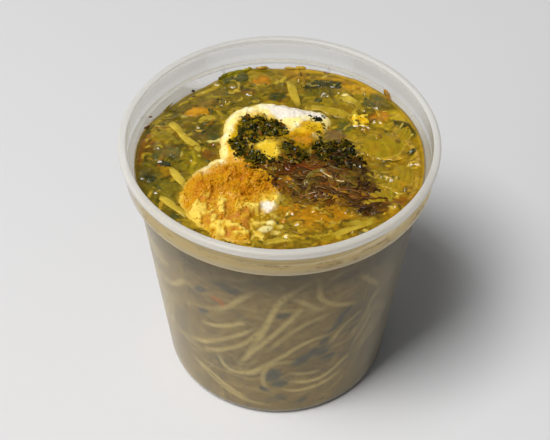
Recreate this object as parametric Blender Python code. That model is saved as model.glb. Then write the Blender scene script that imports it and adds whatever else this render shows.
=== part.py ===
"""Tub of thick noodle soup (ash reshteh) with its toppings.

A round clear-plastic deli tub, full to just under its inner ledge with soup,
on which lie a pool of kashk, a heap of fried garlic, a heap of browned
onions, two slices of soft onion and two beans that stand proud of the broth.

Frame: metres, +Z up, origin at the centre of the tub's flat base.
The food lies in its plan positions: +X right, -Y to the front.
"""

import math

import bmesh
import bpy
from mathutils import Matrix, Vector

MM = 0.001

# ---------------------------------------------------------------- dimensions
# Tub, all in millimetres
SEGMENTS = 60             # facets round the tub
BASE_RADIUS = 43.7        # where the wall's line meets the base plane
CORNER = 3.4              # outside radius between base and wall
WALL = 0.8                # thickness of the moulded wall
BODY_TOP_Z = 99.3         # underside of the stacking ledge
BODY_TOP_RADIUS = 54.0    # outside of the body there
LEDGE_Z = 100.2           # flat top of the inner ledge
COLLAR_IN = 55.8          # inside of the collar above the ledge
COLLAR_OUT = 56.9         # outside of the collar
SKIRT_Z = 96.6            # lower edge of the stacking skirt
SKIRT_IN = 56.1           # inside of that skirt
LIP_RADIUS = 58.5         # widest circle, the outer bead of the lip
LIP_UNDER_Z = 106.1       # underside of the bead
LIP_TOP_Z = 109.2         # top of the lip
RIBS = 8                  # short ribs between skirt and body
RIB_THICK = 0.9
RIB_FIRST = 24.5          # degrees from +Y turned to the first rib

# Soup
GAP = 0.3                 # clearance between touching pieces
LEVEL = 96.3              # mean level of the soup
RELIEF = 0.35             # gentle rise and fall of its surface

# Kashk: two poured lobes that run together. Radii every 30 degrees from +X.
BACK_CENTRE = (-1.0, 13.0)
BACK_RADII = (15.5, 22.0, 16.4, 16.7, 18.9, 20.8, 19.5, 22.6, 22.0, 17.4, 15.0, 14.6)
BACK_HEIGHT = 6.2
FRONT_CENTRE = (-16.0, -20.0)
FRONT_RADII = (17.5, 16.6, 19.8, 21.8, 20.6, 19.5, 19.5, 18.4, 18.9, 21.3, 21.0, 15.3)
FRONT_HEIGHT = 3.6
KASHK_HUB = (-10.5, -3.5)  # a point inside both lobes' join, the hub of the mesh

# Heap of fried garlic on the front lobe
GARLIC_CENTRE = (-17.5, -15.5)
GARLIC_RADII = (13.0, 12.0, 12.4, 11.6, 12.2, 13.4, 13.6, 14.2, 12.8, 11.6, 12.2, 13.6)
GARLIC_HEIGHT = 2.3

# Heap of browned onions to its right
ONION_CENTRE = (16.0, -9.4)
ONION_RADII = (16.6, 16.2, 18.4, 11.6, 8.6, 11.4, 14.4, 12.0, 11.6, 11.8, 13.9, 18.0)
ONION_HEIGHT = 4.2

# Soft onion slices: centre x, y, half length, half width, turn in degrees, rise
SLICES = {
    "onion_slice_1": (38.2, 9.4, 7.4, 6.6, 18.0, 2.6),
    "onion_slice_2": (44.0, -8.6, 5.0, 8.6, -12.0, 1.9),
}

# Beans: centre x, y, half length, half width, half thickness, turn, height of
# the centre over the soup's level
BEANS = {
    "bean_1": (-31.4, 26.6, 5.6, 3.9, 3.3, 4.0, -0.6),
    "bean_2": (-6.6, 43.4, 5.7, 4.4, 4.1, -8.0, -0.9),
}


# ------------------------------------------------------------------ helpers
def material(name, colour, rough, metallic=0.0, alpha=1.0, transmission=0.0):
    mat = bpy.data.materials.new(name)
    mat.use_nodes = True
    bsdf = mat.node_tree.nodes["Principled BSDF"]
    bsdf.inputs["Base Color"].default_value = (*colour, 1.0)
    bsdf.inputs["Roughness"].default_value = rough
    bsdf.inputs["Metallic"].default_value = metallic
    bsdf.inputs["Alpha"].default_value = alpha
    bsdf.inputs["Transmission Weight"].default_value = transmission
    return mat


def add_object(name, bm, mat):
    bmesh.ops.recalc_face_normals(bm, faces=bm.faces[:])
    mesh = bpy.data.meshes.new(name)
    bm.to_mesh(mesh)
    bm.free()
    obj = bpy.data.objects.new(name, mesh)
    bpy.context.collection.objects.link(obj)
    if mat is not None:
        mesh.materials.append(mat)
    mesh.shade_smooth()
    mesh.set_sharp_from_angle(angle=math.radians(35))
    return obj


def as_cutter(obj):
    obj.hide_render = True
    obj.display_type = "WIRE"
    return obj


def arc(cx, cy, radius, start, end, steps):
    """Points of an arc in the profile's plane, angles in degrees."""
    pts = []
    for i in range(steps + 1):
        a = math.radians(start + (end - start) * i / steps)
        pts.append((cx + radius * math.cos(a), cy + radius * math.sin(a)))
    return pts


def turned(profile, segments):
    """Closed body turned round Z from an open profile that starts and ends on
    the axis. Radii are given for the facets' corners."""
    bm = bmesh.new()
    verts = [bm.verts.new((r * MM, 0.0, z * MM)) for r, z in profile]
    edges = [bm.edges.new(pair) for pair in zip(verts[:-1], verts[1:])]
    bmesh.ops.spin(bm, geom=verts + edges, cent=(0, 0, 0), axis=(0, 0, 1),
                   angle=2 * math.pi, steps=segments, use_merge=True)
    bmesh.ops.remove_doubles(bm, verts=bm.verts[:], dist=1e-6)
    return bm


def ring_body(top, rings, bottom):
    """Closed body from a top point, a stack of rings and a bottom point."""
    bm = bmesh.new()
    vt = bm.verts.new([c * MM for c in top])
    vr = [[bm.verts.new([c * MM for c in p]) for p in ring] for ring in rings]
    vb = bm.verts.new([c * MM for c in bottom])
    n = len(rings[0])
    for i in range(n):
        j = (i + 1) % n
        bm.faces.new((vt, vr[0][i], vr[0][j]))
        for a, b in zip(vr[:-1], vr[1:]):
            bm.faces.new((a[i], b[i], b[j]))
            bm.faces.new((a[i], b[j], a[j]))
        bm.faces.new((vb, vr[-1][j], vr[-1][i]))
    return bm


def radius_at(radii, angle):
    """Smooth periodic outline through radii at even angles."""
    n = len(radii)
    t = (angle / (2 * math.pi)) % 1.0 * n
    i = int(t) % n
    u = t - int(t)
    p0, p1, p2, p3 = (radii[(i + k) % n] for k in (-1, 0, 1, 2))
    return 0.5 * (2 * p1 + (p2 - p0) * u + (2 * p0 - 5 * p1 + 4 * p2 - p3) * u * u
                  + (3 * p1 - p0 - 3 * p2 + p3) * u ** 3)


def share(centre, radii, x, y):
    """0 at the hub of an outline, 1 on it, more outside."""
    dx, dy = x - centre[0], y - centre[1]
    return math.hypot(dx, dy) / radius_at(radii, math.atan2(dy, dx))


# ------------------------------------------------------------- soup surface
def soup_z(x, y):
    """Height of the soup's surface: broad swells over the noodles beneath."""
    swell = (math.sin(0.11 * x + 0.4) * math.cos(0.13 * y - 0.7)
             + 0.6 * math.sin(0.19 * x - 0.14 * y + 1.9)
             + 0.4 * math.cos(0.24 * y + 0.09 * x + 0.5))
    edge = max(0.0, 1.0 - math.hypot(x, y) / 53.0)
    return LEVEL + RELIEF * swell * min(1.0, 4.0 * edge) / 2.0


def dome(rho, power):
    return max(0.0, 1.0 - rho ** power) ** 0.62


def kashk_height(x, y):
    """Thickness of the kashk: a tall folded lobe behind, a flat one in front."""
    rb = share(BACK_CENTRE, BACK_RADII, x, y)
    rf = share(FRONT_CENTRE, FRONT_RADII, x, y)
    fold = (0.10 * math.sin(0.34 * x + 0.21 * y + 0.6)
            + 0.07 * math.cos(0.48 * y - 0.17 * x))
    back = BACK_HEIGHT * dome(rb, 2.6) * (0.84 + fold)
    front = FRONT_HEIGHT * dome(rf, 5.0) * (0.94 + 0.05 * math.sin(0.5 * x - 0.4 * y))
    big, small = max(back, front), min(back, front)
    return big + 0.35 * small * math.exp(-(big - small) / 1.2)


def kashk_reach(angle):
    """Distance from the hub to the farthest point inside either lobe."""
    dx, dy = math.cos(angle), math.sin(angle)
    reach, t = 4.0, 4.0
    while t < 60.0:
        x, y = KASHK_HUB[0] + t * dx, KASHK_HUB[1] + t * dy
        inside = (share(BACK_CENTRE, BACK_RADII, x, y) < 1.0
                  or share(FRONT_CENTRE, FRONT_RADII, x, y) < 1.0)
        if inside:
            reach = t
        t += 0.1
    return reach


def smooth_loop(values, passes):
    for _ in range(passes):
        n = len(values)
        values = [(values[i - 1] + 2 * values[i] + values[(i + 1) % n]) / 4 for i in range(n)]
    return values


def lying_body(centre, outline, top_z, under_z, rings_top, rings_under, edge=0.35):
    """Body lying on the food below it: `outline` is the list of its radii,
    `top_z` and `under_z` give the two faces' heights at x, y, rho."""
    n = len(outline)
    cx, cy = centre

    def ring(rho, z_of, lift=0.0):
        pts = []
        for i in range(n):
            a = 2 * math.pi * i / n
            x = cx + outline[i] * rho * math.cos(a)
            y = cy + outline[i] * rho * math.sin(a)
            pts.append((x, y, z_of(x, y, rho) + lift))
        return pts

    rings = [ring(rho, top_z) for rho in rings_top]
    rings.append(ring(1.0, under_z, edge))
    rings += [ring(rho, under_z) for rho in rings_under]
    top = (cx, cy, top_z(cx, cy, 0.0))
    bottom = (cx, cy, under_z(cx, cy, 0.0))
    return ring_body(top, rings, bottom)


# ----------------------------------------------------------------- the tub
def wall_radius(z):
    """Outside of the body at height z, the wall's straight taper."""
    return BASE_RADIUS + (BODY_TOP_RADIUS - BASE_RADIUS) * z / BODY_TOP_Z


def corner_points(radius_offset, z_base, corner, steps=3):
    """Fillet between a flat base at z_base and the tapered wall moved in by
    radius_offset."""
    slope = math.atan2(BODY_TOP_RADIUS - BASE_RADIUS, BODY_TOP_Z)
    # centre of the fillet: `corner` above the base and `corner` inside the wall
    cz = z_base + corner
    wall_r = wall_radius(cz) - radius_offset
    cr = wall_r - corner / math.cos(slope)
    return arc(cr, cz, corner, -90.0, -math.degrees(slope), steps)


def tub_profile():
    pts = [(0.0, 0.0)]
    pts += corner_points(0.0, 0.0, CORNER)
    pts += [(wall_radius(50.0), 50.0), (BODY_TOP_RADIUS, BODY_TOP_Z)]
    pts += [(SKIRT_IN, BODY_TOP_Z), (SKIRT_IN, SKIRT_Z + 0.15)]
    pts += [(SKIRT_IN + 0.2, SKIRT_Z), (COLLAR_OUT - 0.15, SKIRT_Z), (COLLAR_OUT, SKIRT_Z + 0.2)]
    pts += [(COLLAR_OUT, LIP_UNDER_Z), (LIP_RADIUS - 0.3, LIP_UNDER_Z), (LIP_RADIUS, LIP_UNDER_Z + 0.4)]
    # rolled top of the lip: rises from the outer bead to the inner edge
    width = LIP_RADIUS - COLLAR_IN
    for i in range(0, 6):
        a = math.radians(4.0 + 160.0 * i / 5.0)
        r = COLLAR_IN + width * (0.5 + 0.5 * math.cos(a))
        z = LIP_TOP_Z - 1.35 * (1.0 - math.sin(a)) * (0.55 if a > math.pi / 2 else 1.0)
        pts.append((r, z))
    pts += [(COLLAR_IN, LIP_TOP_Z - 1.1), (COLLAR_IN, LEDGE_Z + 0.3), (COLLAR_IN - 0.3, LEDGE_Z)]
    inner_top = wall_radius(LEDGE_Z) - WALL
    pts += [(inner_top + 0.4, LEDGE_Z), (inner_top - 0.04, LEDGE_Z - 0.4)]
    pts += [(wall_radius(50.0) - WALL, 50.0)]
    pts += list(reversed(corner_points(WALL, WALL, CORNER - WALL)))
    pts += [(0.0, WALL)]
    return pts


def make_tub():
    plastic = material("tub_plastic", (0.86, 0.87, 0.86), 0.3, alpha=0.45)
    tub = add_object("tub", turned(tub_profile(), SEGMENTS), plastic)
    # ribs under the ledge, each let into the skirt and the body
    bm = bmesh.new()
    r_in = wall_radius(SKIRT_Z) - 0.35
    r_out = SKIRT_IN + 0.35
    z_low, z_high = SKIRT_Z + 0.5, BODY_TOP_Z + 0.3
    for k in range(RIBS):
        a = math.radians(RIB_FIRST + 360.0 * k / RIBS - 90.0)
        box = bmesh.ops.create_cube(bm, size=1.0)["verts"]
        place = (Matrix.Rotation(a, 4, "Z")
                 @ Matrix.Translation(Vector(((r_in + r_out) / 2, 0, (z_low + z_high) / 2)) * MM)
                 @ Matrix.Diagonal(Vector((r_out - r_in, RIB_THICK, z_high - z_low, 1000.0)) * MM))
        bmesh.ops.transform(bm, matrix=place, verts=box)
    ribs = as_cutter(add_object("tub_rib_tool", bm, None))
    join = tub.modifiers.new("ribs", "BOOLEAN")
    join.operation = "UNION"
    join.solver = "EXACT"
    join.object = ribs
    return tub


# ---------------------------------------------------------------- the soup
def bean_points(half_length, half_width, half_thick, bend, grow=0.0):
    bm = bmesh.new()
    bmesh.ops.create_uvsphere(bm, u_segments=16, v_segments=10, radius=1.0)
    a, b, c = half_length + grow, half_width + grow, half_thick + grow
    for v in bm.verts:
        x, y, z = v.co
        # a kidney: the ends bow towards -Y and the ends are a little slimmer
        v.co = Vector((a * x, b * y * (1.0 - 0.10 * x * x) - bend * x * x, c * z)) * MM
    return bm


def place_bean(bm, spec):
    x, y, _, _, _, turn, rise = spec
    place = (Matrix.Translation(Vector((x, y, LEVEL + rise)) * MM)
             @ Matrix.Rotation(math.radians(turn), 4, "Z")
             @ Matrix.Rotation(math.radians(7.0), 4, "Y"))
    bmesh.ops.transform(bm, matrix=place, verts=bm.verts[:])
    return bm


def make_soup():
    inner = [(r - GAP, z + GAP) for r, z in corner_points(WALL, WALL, CORNER - WALL)]
    side = [(wall_radius(z) - WALL - GAP, z) for z in (LEVEL - 1.0, 72.0, 48.0, 24.0)]
    surface_r = wall_radius(LEVEL) - WALL - GAP
    rings = []
    for rho in (0.12, 0.26, 0.40, 0.54, 0.68, 0.81, 0.93, 1.0):
        ring = []
        for i in range(SEGMENTS):
            a = 2 * math.pi * i / SEGMENTS
            x, y = surface_r * rho * math.cos(a), surface_r * rho * math.sin(a)
            ring.append((x, y, soup_z(x, y)))
        rings.append(ring)
    for r, z in side + list(reversed(inner)):
        rings.append([(r * math.cos(2 * math.pi * i / SEGMENTS),
                       r * math.sin(2 * math.pi * i / SEGMENTS), z) for i in range(SEGMENTS)])
    bm = ring_body((0, 0, soup_z(0, 0)), rings, (0, 0, WALL + GAP))
    soup = add_object("soup", bm, material("soup_broth", (0.34, 0.24, 0.045), 0.25))
    for name, spec in BEANS.items():
        pocket = place_bean(bean_points(spec[2], spec[3], spec[4], 0.9, GAP + 0.06), spec)
        cutter = as_cutter(add_object(name + "_pocket", pocket, None))
        cut = soup.modifiers.new(name, "BOOLEAN")
        cut.operation = "DIFFERENCE"
        cut.solver = "EXACT"
        cut.object = cutter
    return soup


def make_beans():
    skin = material("bean_skin", (0.52, 0.25, 0.045), 0.35)
    for name, spec in BEANS.items():
        add_object(name, place_bean(bean_points(spec[2], spec[3], spec[4], 0.9), spec), skin)


# ------------------------------------------------------------- the toppings
def make_kashk():
    n = 44
    outline = smooth_loop([kashk_reach(2 * math.pi * i / n) for i in range(n)], 1)

    def under(x, y, rho):
        return soup_z(x, y) + GAP

    def top(x, y, rho):
        rim = max(0.0, 1.0 - rho ** 9.0) ** 0.5
        return soup_z(x, y) + GAP + 0.35 + kashk_height(x, y) * rim

    bm = lying_body(KASHK_HUB, outline, top, under,
                    (0.16, 0.32, 0.47, 0.60, 0.71, 0.81, 0.89, 0.95, 0.985),
                    (0.94, 0.70, 0.45, 0.20))
    add_object("kashk", bm, material("kashk_cream", (0.86, 0.74, 0.45), 0.4))


def make_garlic():
    n = 26
    outline = [radius_at(GARLIC_RADII, 2 * math.pi * i / n) for i in range(n)]

    def under(x, y, rho):
        on_kashk = soup_z(x, y) + GAP + 0.35 + kashk_height(x, y)
        return on_kashk + GAP + 0.1

    def top(x, y, rho):
        lump = 0.18 * math.sin(0.9 * x + 0.3) * math.cos(0.8 * y - 0.4)
        return under(x, y, rho) + 0.3 + GARLIC_HEIGHT * dome(rho, 2.2) * (0.9 + lump)

    bm = lying_body(GARLIC_CENTRE, outline, top, under,
                    (0.22, 0.42, 0.60, 0.76, 0.89), (0.92, 0.70, 0.46, 0.22), edge=0.2)
    add_object("garlic_heap", bm, material("garlic_fried", (0.56, 0.25, 0.02), 0.5))


def make_onions():
    n = 32
    outline = [radius_at(ONION_RADII, 2 * math.pi * i / n) * (1.0 + 0.035 * math.sin(5.0 * i))
               for i in range(n)]

    def under(x, y, rho):
        return soup_z(x, y) + GAP

    def top(x, y, rho):
        lump = (0.20 * math.sin(0.55 * x + 0.7 * y) + 0.16 * math.cos(0.7 * x - 0.35 * y + 1.0))
        return under(x, y, rho) + 0.3 + ONION_HEIGHT * dome(rho, 2.0) * (0.78 + lump)

    bm = lying_body(ONION_CENTRE, outline, top, under,
                    (0.14, 0.28, 0.42, 0.56, 0.69, 0.81, 0.91), (0.92, 0.66, 0.40, 0.18))
    add_object("onion_heap", bm, material("onion_browned", (0.20, 0.075, 0.012), 0.3))


def make_slices():
    flesh = material("onion_soft", (0.52, 0.40, 0.05), 0.2)
    n = 24
    for name, (cx, cy, half_l, half_w, turn, rise) in SLICES.items():
        t0 = math.radians(turn)
        outline = []
        for i in range(n):
            a = 2 * math.pi * i / n - t0
            outline.append(1.0 / math.sqrt((math.cos(a) / half_l) ** 2 + (math.sin(a) / half_w) ** 2))

        def under(x, y, rho):
            return soup_z(x, y) + GAP

        def top(x, y, rho, rise=rise):
            layer = 0.06 * math.cos(4.0 * math.pi * rho)
            return under(x, y, rho) + 0.35 + rise * dome(rho, 2.0) * (0.94 + layer)

        bm = lying_body((cx, cy), outline, top, under,
                        (0.18, 0.36, 0.52, 0.68, 0.82, 0.93), (0.90, 0.60, 0.30))
        add_object(name, bm, flesh)


def main():
    for obj in list(bpy.data.objects):
        bpy.data.objects.remove(obj, do_unlink=True)
    make_tub()
    make_soup()
    make_beans()
    make_kashk()
    make_garlic()
    make_onions()
    make_slices()


main()
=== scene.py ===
import math

import bpy
import numpy as np
from mathutils import Matrix, Vector


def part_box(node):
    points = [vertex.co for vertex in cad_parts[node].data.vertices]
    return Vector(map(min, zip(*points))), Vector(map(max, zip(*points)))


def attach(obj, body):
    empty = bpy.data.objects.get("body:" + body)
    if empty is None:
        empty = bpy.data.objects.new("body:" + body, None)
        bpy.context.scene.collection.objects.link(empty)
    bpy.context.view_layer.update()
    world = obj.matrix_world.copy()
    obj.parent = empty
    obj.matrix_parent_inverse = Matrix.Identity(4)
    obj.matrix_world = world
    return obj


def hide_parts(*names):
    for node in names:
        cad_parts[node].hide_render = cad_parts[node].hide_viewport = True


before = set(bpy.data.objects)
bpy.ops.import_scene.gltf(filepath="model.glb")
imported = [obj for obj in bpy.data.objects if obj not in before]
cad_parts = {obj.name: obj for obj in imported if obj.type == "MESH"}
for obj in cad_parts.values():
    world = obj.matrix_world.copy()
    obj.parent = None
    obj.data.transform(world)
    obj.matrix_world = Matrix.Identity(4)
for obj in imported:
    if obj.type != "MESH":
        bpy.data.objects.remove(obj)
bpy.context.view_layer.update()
MM = 0.001
scene = bpy.context.scene

# --------------------------------------------------------------------------
# Sizes of the frame, in millimetres. The tub stands on z = 0, centred on Z.
# --------------------------------------------------------------------------
tub_lo, tub_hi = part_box("tub")
soup_lo, soup_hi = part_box("soup")
LIP_R = tub_hi.x / MM                 # 58.5, the bead of the lip
LIP_Z = tub_hi.z / MM                 # 109.2, top of the lip
BASE_R = 43.7
TOP_R, TOP_R_Z = 54.0, 99.3           # outside of the wall under its ledge
WALL = 0.8
LEVEL = 96.3
RIM_PTS = 60


def wall_r(z):
    return BASE_R + (TOP_R - BASE_R) * z / TOP_R_Z


def inner_r(z):
    """Inner radius of the wall: it flares a little under the ledge."""
    z = np.asarray(z, float)
    return np.where(z < 97.0, wall_r(z) - WALL, wall_r(97.0) - WALL + 0.79 * (z - 97.0) / 4.7)


# How far the soup's edge stands over or under its level along the wall:
# degrees from the front towards +x, and millimetres.
EDGE_LIFT = np.array([(-180, -0.4), (-172, 0.4), (-162, 1.0), (-155, 0.0), (-149, -2.2), (-140, -2.2), (-127, -2.5),
                      (-116, -1.1), (-108, 0.3), (-100, 1.1), (-84, 0.9), (-60, 0.1), (0, 0.0), (60, 0.3), (84, 1.6),
                      (103, 2.9), (118, 2.7), (137, 2.2), (151, 1.8), (163, 0.7), (173, 0.4), (180, -0.4)], float)


def edge_lift(x, y):
    a = np.degrees(np.arctan2(np.asarray(x, float), -np.asarray(y, float)))
    return sum(np.interp((a + d + 180.0) % 360.0 - 180.0, EDGE_LIFT[:, 0], EDGE_LIFT[:, 1]) for d in (-4.0, 0.0, 4.0)) / 3.0


# --------------------------------------------------------------------------
# Small numeric helpers
# --------------------------------------------------------------------------
def lin(*rgb):
    """sRGB 0-255 to linear."""
    c = np.asarray(rgb, float) / 255.0
    return np.where(c <= 0.04045, c / 12.92, ((c + 0.055) / 1.055) ** 2.4)


def smooth(a, b, x):
    t = np.clip((np.asarray(x, float) - a) / (b - a), 0.0, 1.0)
    return t * t * (3.0 - 2.0 * t)


def _hash(ix, iy, iz, seed):
    m = np.uint64(0xFFFFFFFF)
    n = (ix.astype(np.int64).astype(np.uint64) * np.uint64(374761393)
         + iy.astype(np.int64).astype(np.uint64) * np.uint64(668265263)
         + iz.astype(np.int64).astype(np.uint64) * np.uint64(2246822519)
         + np.uint64(seed * 3266489917 % (1 << 32))) & m
    n = ((n ^ (n >> np.uint64(15))) * np.uint64(2246822519)) & m
    n = ((n ^ (n >> np.uint64(13))) * np.uint64(3266489917)) & m
    return ((n ^ (n >> np.uint64(16))) & m).astype(np.float64) / 4294967295.0


def vnoise(x, y, z=0.0, seed=0):
    """Smooth value noise in -1..1."""
    x, y, z = np.broadcast_arrays(np.asarray(x, float), np.asarray(y, float), np.asarray(z, float))
    xi, yi, zi = np.floor(x), np.floor(y), np.floor(z)
    fx, fy, fz = x - xi, y - yi, z - zi
    fx, fy, fz = (t * t * t * (t * (t * 6 - 15) + 10) for t in (fx, fy, fz))
    out = 0.0
    for dx in (0, 1):
        wx = fx if dx else 1 - fx
        for dy in (0, 1):
            wy = fy if dy else 1 - fy
            for dz in (0, 1):
                wz = fz if dz else 1 - fz
                out = out + wx * wy * wz * _hash(xi + dx, yi + dy, zi + dz, seed)
    return out * 2.0 - 1.0


def fbm(x, y, z=0.0, octaves=4, seed=0, gain=0.5):
    x, y, z = (np.asarray(v, float) for v in (x, y, z))
    total, amp, norm = 0.0, 1.0, 0.0
    for o in range(octaves):
        k = 2.03 ** o
        total = total + amp * vnoise(x * k + 17.3 * o, y * k - 9.1 * o, z * k + 5.7 * o, seed + o)
        norm += amp
        amp *= gain
    return total / norm


def radius_at(radii, angle):
    """Smooth periodic outline through radii at even angles (vectorised)."""
    radii = np.asarray(radii, float)
    n = len(radii)
    t = (np.asarray(angle) / (2 * math.pi)) % 1.0 * n
    i = np.floor(t).astype(int) % n
    u = t - np.floor(t)
    p0, p1, p2, p3 = (radii[(i + k) % n] for k in (-1, 0, 1, 2))
    return 0.5 * (2 * p1 + (p2 - p0) * u + (2 * p0 - 5 * p1 + 4 * p2 - p3) * u * u
                  + (3 * p1 - p0 - 3 * p2 + p3) * u ** 3)


def share(centre, radii, x, y):
    dx, dy = np.asarray(x) - centre[0], np.asarray(y) - centre[1]
    return np.hypot(dx, dy) / radius_at(radii, np.arctan2(dy, dx))


def spline(points, step):
    """Catmull-Rom through points, resampled about every `step`."""
    P = np.asarray(points, float)
    if len(P) == 2:
        n = max(2, int(np.linalg.norm(P[1] - P[0]) / step) + 1)
        return P[0] + (P[1] - P[0]) * np.linspace(0, 1, n)[:, None]
    Q = np.vstack([2 * P[0] - P[1], P, 2 * P[-1] - P[-2]])
    out = []
    for i in range(1, len(Q) - 2):
        p0, p1, p2, p3 = Q[i - 1], Q[i], Q[i + 1], Q[i + 2]
        for u in np.linspace(0, 1, 12, endpoint=False):
            out.append(0.5 * (2 * p1 + (p2 - p0) * u + (2 * p0 - 5 * p1 + 4 * p2 - p3) * u * u
                              + (3 * p1 - p0 - 3 * p2 + p3) * u ** 3))
    out.append(P[-1])
    out = np.array(out)
    s = np.r_[0, np.cumsum(np.linalg.norm(np.diff(out, axis=0), axis=1))]
    n = max(3, int(round(s[-1] / step)) + 1)
    t = np.linspace(0, s[-1], n)
    return np.stack([np.interp(t, s, out[:, k]) for k in range(out.shape[1])], axis=1)


def path_distance(path, x, y):
    """Distance from points x, y to a 2-D path, and the share along it."""
    x, y = np.asarray(x, float).ravel(), np.asarray(y, float).ravel()
    best = np.full(x.shape, 1e9)
    along = np.zeros(x.shape)
    n = len(path) - 1
    for i in range(n):
        ax, ay = path[i][:2]
        bx, by = path[i + 1][:2]
        ex, ey = bx - ax, by - ay
        t = np.clip(((x - ax) * ex + (y - ay) * ey) / max(ex * ex + ey * ey, 1e-9), 0, 1)
        d = np.hypot(x - ax - t * ex, y - ay - t * ey)
        m = d < best
        best[m] = d[m]
        along[m] = (i + t[m]) / n
    return best, along


# --------------------------------------------------------------------------
# Mesh helpers
# --------------------------------------------------------------------------
class Bag:
    """Collects many small meshes, with a colour at every vertex."""

    def __init__(self):
        self.v, self.f, self.c, self.n = [], [], [], 0

    def add(self, verts, faces, colour):
        verts = np.asarray(verts, float)
        colour = np.asarray(colour, float)
        if colour.ndim == 1:
            colour = np.repeat(colour[None, :], len(verts), axis=0)
        self.v.append(verts)
        self.c.append(colour[:, :3])
        for f in faces:
            self.f.append(np.asarray(f, np.int64) + self.n)
        self.n += len(verts)

    def triangles(self):
        return sum(len(f) * (f.shape[1] - 2) for f in self.f)

    def build(self, name, material, smooth_shade=True):
        v = np.concatenate(self.v)
        c = np.concatenate(self.c)
        return mesh_object(name, v, self.f, material, c, smooth_shade)


def mesh_object(name, verts, face_arrays, material, colours=None, smooth_shade=True, face_mats=None):
    """face_arrays: list of (n, 3) or (n, 4) index arrays. verts in mm."""
    mesh = bpy.data.meshes.new(name)
    sizes = np.concatenate([np.full(len(f), f.shape[1], np.int64) for f in face_arrays])
    loops = np.concatenate([np.asarray(f, np.int64).ravel() for f in face_arrays])
    mesh.vertices.add(len(verts))
    mesh.vertices.foreach_set("co", (np.asarray(verts, float) * MM).astype(np.float32).ravel())
    mesh.loops.add(len(loops))
    mesh.loops.foreach_set("vertex_index", loops.astype(np.int32))
    mesh.polygons.add(len(sizes))
    starts = np.r_[0, np.cumsum(sizes)[:-1]]
    mesh.polygons.foreach_set("loop_start", starts.astype(np.int32))
    mesh.polygons.foreach_set("loop_total", sizes.astype(np.int32))
    mesh.polygons.foreach_set("use_smooth", np.full(len(sizes), bool(smooth_shade)))
    mats = material if isinstance(material, (list, tuple)) else [material]
    for m in mats:
        mesh.materials.append(m)
    if face_mats is not None:
        mesh.polygons.foreach_set("material_index", np.asarray(face_mats, np.int32))
    if colours is not None:
        att = mesh.color_attributes.new(name="Col", type="FLOAT_COLOR", domain="POINT")
        rgba = np.ones((len(verts), 4), np.float32)
        rgba[:, :3] = np.clip(colours, 0.0, 1.0)
        att.data.foreach_set("color", rgba.ravel())
    mesh.update()
    mesh.validate()
    obj = bpy.data.objects.new(name, mesh)
    scene.collection.objects.link(obj)
    return obj


def grid_faces(rows, cols, wrap=False, offset=0):
    """Quads of a rows x cols grid of vertices."""
    r = np.arange(rows - 1)[:, None]
    c = np.arange(cols if wrap else cols - 1)[None, :]
    c2 = (c + 1) % cols
    a, b = r * cols + c, r * cols + c2
    d, e = (r + 1) * cols + c, (r + 1) * cols + c2
    return np.stack([a, d, e, b], axis=-1).reshape(-1, 4) + offset


def sweep(path, half_w, half_t, side, up, sides=8, squareness=2.0, ends="round"):
    """A ribbon or tube along path (n, 3). half_w, half_t: scalars or arrays.
    side, up: unit vectors at each point. Returns verts, faces."""
    n = len(path)
    half_w = np.broadcast_to(np.asarray(half_w, float), (n,)).copy()
    half_t = np.broadcast_to(np.asarray(half_t, float), (n,)).copy()
    if ends == "round":
        k = min(2, n // 2)
        for i, f in enumerate((0.45, 0.85)[:k]):
            half_w[i] *= f
            half_t[i] *= f
            half_w[-1 - i] *= f
            half_t[-1 - i] *= f
    a = np.linspace(0, 2 * math.pi, sides, endpoint=False)
    ca, sa = np.cos(a), np.sin(a)
    p = 2.0 / squareness
    cu, su = np.sign(ca) * np.abs(ca) ** p, np.sign(sa) * np.abs(sa) ** p
    ring = (path[:, None, :] + side[:, None, :] * (half_w[:, None, None] * cu[None, :, None])
            + up[:, None, :] * (half_t[:, None, None] * su[None, :, None]))
    verts = ring.reshape(-1, 3)
    quads = grid_faces(n, sides, wrap=True)
    tip0, tip1 = len(verts), len(verts) + 1
    verts = np.vstack([verts, path[0], path[-1]])
    j = np.arange(sides)
    j2 = (j + 1) % sides
    cap0 = np.stack([np.full(sides, tip0), j, j2], axis=1)
    base = (n - 1) * sides
    cap1 = np.stack([np.full(sides, tip1), base + j2, base + j], axis=1)
    return verts, [quads[:, ::-1], cap0[:, ::-1], cap1[:, ::-1]]


def path_frames(path, up_hint=(0, 0, 1)):
    """side and up unit vectors along a path."""
    t = np.gradient(path, axis=0)
    t /= np.linalg.norm(t, axis=1, keepdims=True) + 1e-12
    up_hint = np.broadcast_to(np.asarray(up_hint, float), path.shape)
    side = np.cross(t, up_hint)
    side /= np.linalg.norm(side, axis=1, keepdims=True) + 1e-12
    up = np.cross(side, t)
    return side, up


# --------------------------------------------------------------------------
# Materials
# --------------------------------------------------------------------------
def new_material(name):
    mat = bpy.data.materials.new(name)
    mat.use_nodes = True
    nt = mat.node_tree
    return mat, nt, nt.nodes["Principled BSDF"], nt.nodes["Material Output"]


def noise_node(nt, scale, detail=3.0, rough=0.55, dist=0.0, coords=None):
    n = nt.nodes.new("ShaderNodeTexNoise")
    n.inputs["Scale"].default_value = scale
    n.inputs["Detail"].default_value = detail
    n.inputs["Roughness"].default_value = rough
    n.inputs["Distortion"].default_value = dist
    if coords is not None:
        nt.links.new(coords, n.inputs["Vector"])
    return n


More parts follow.
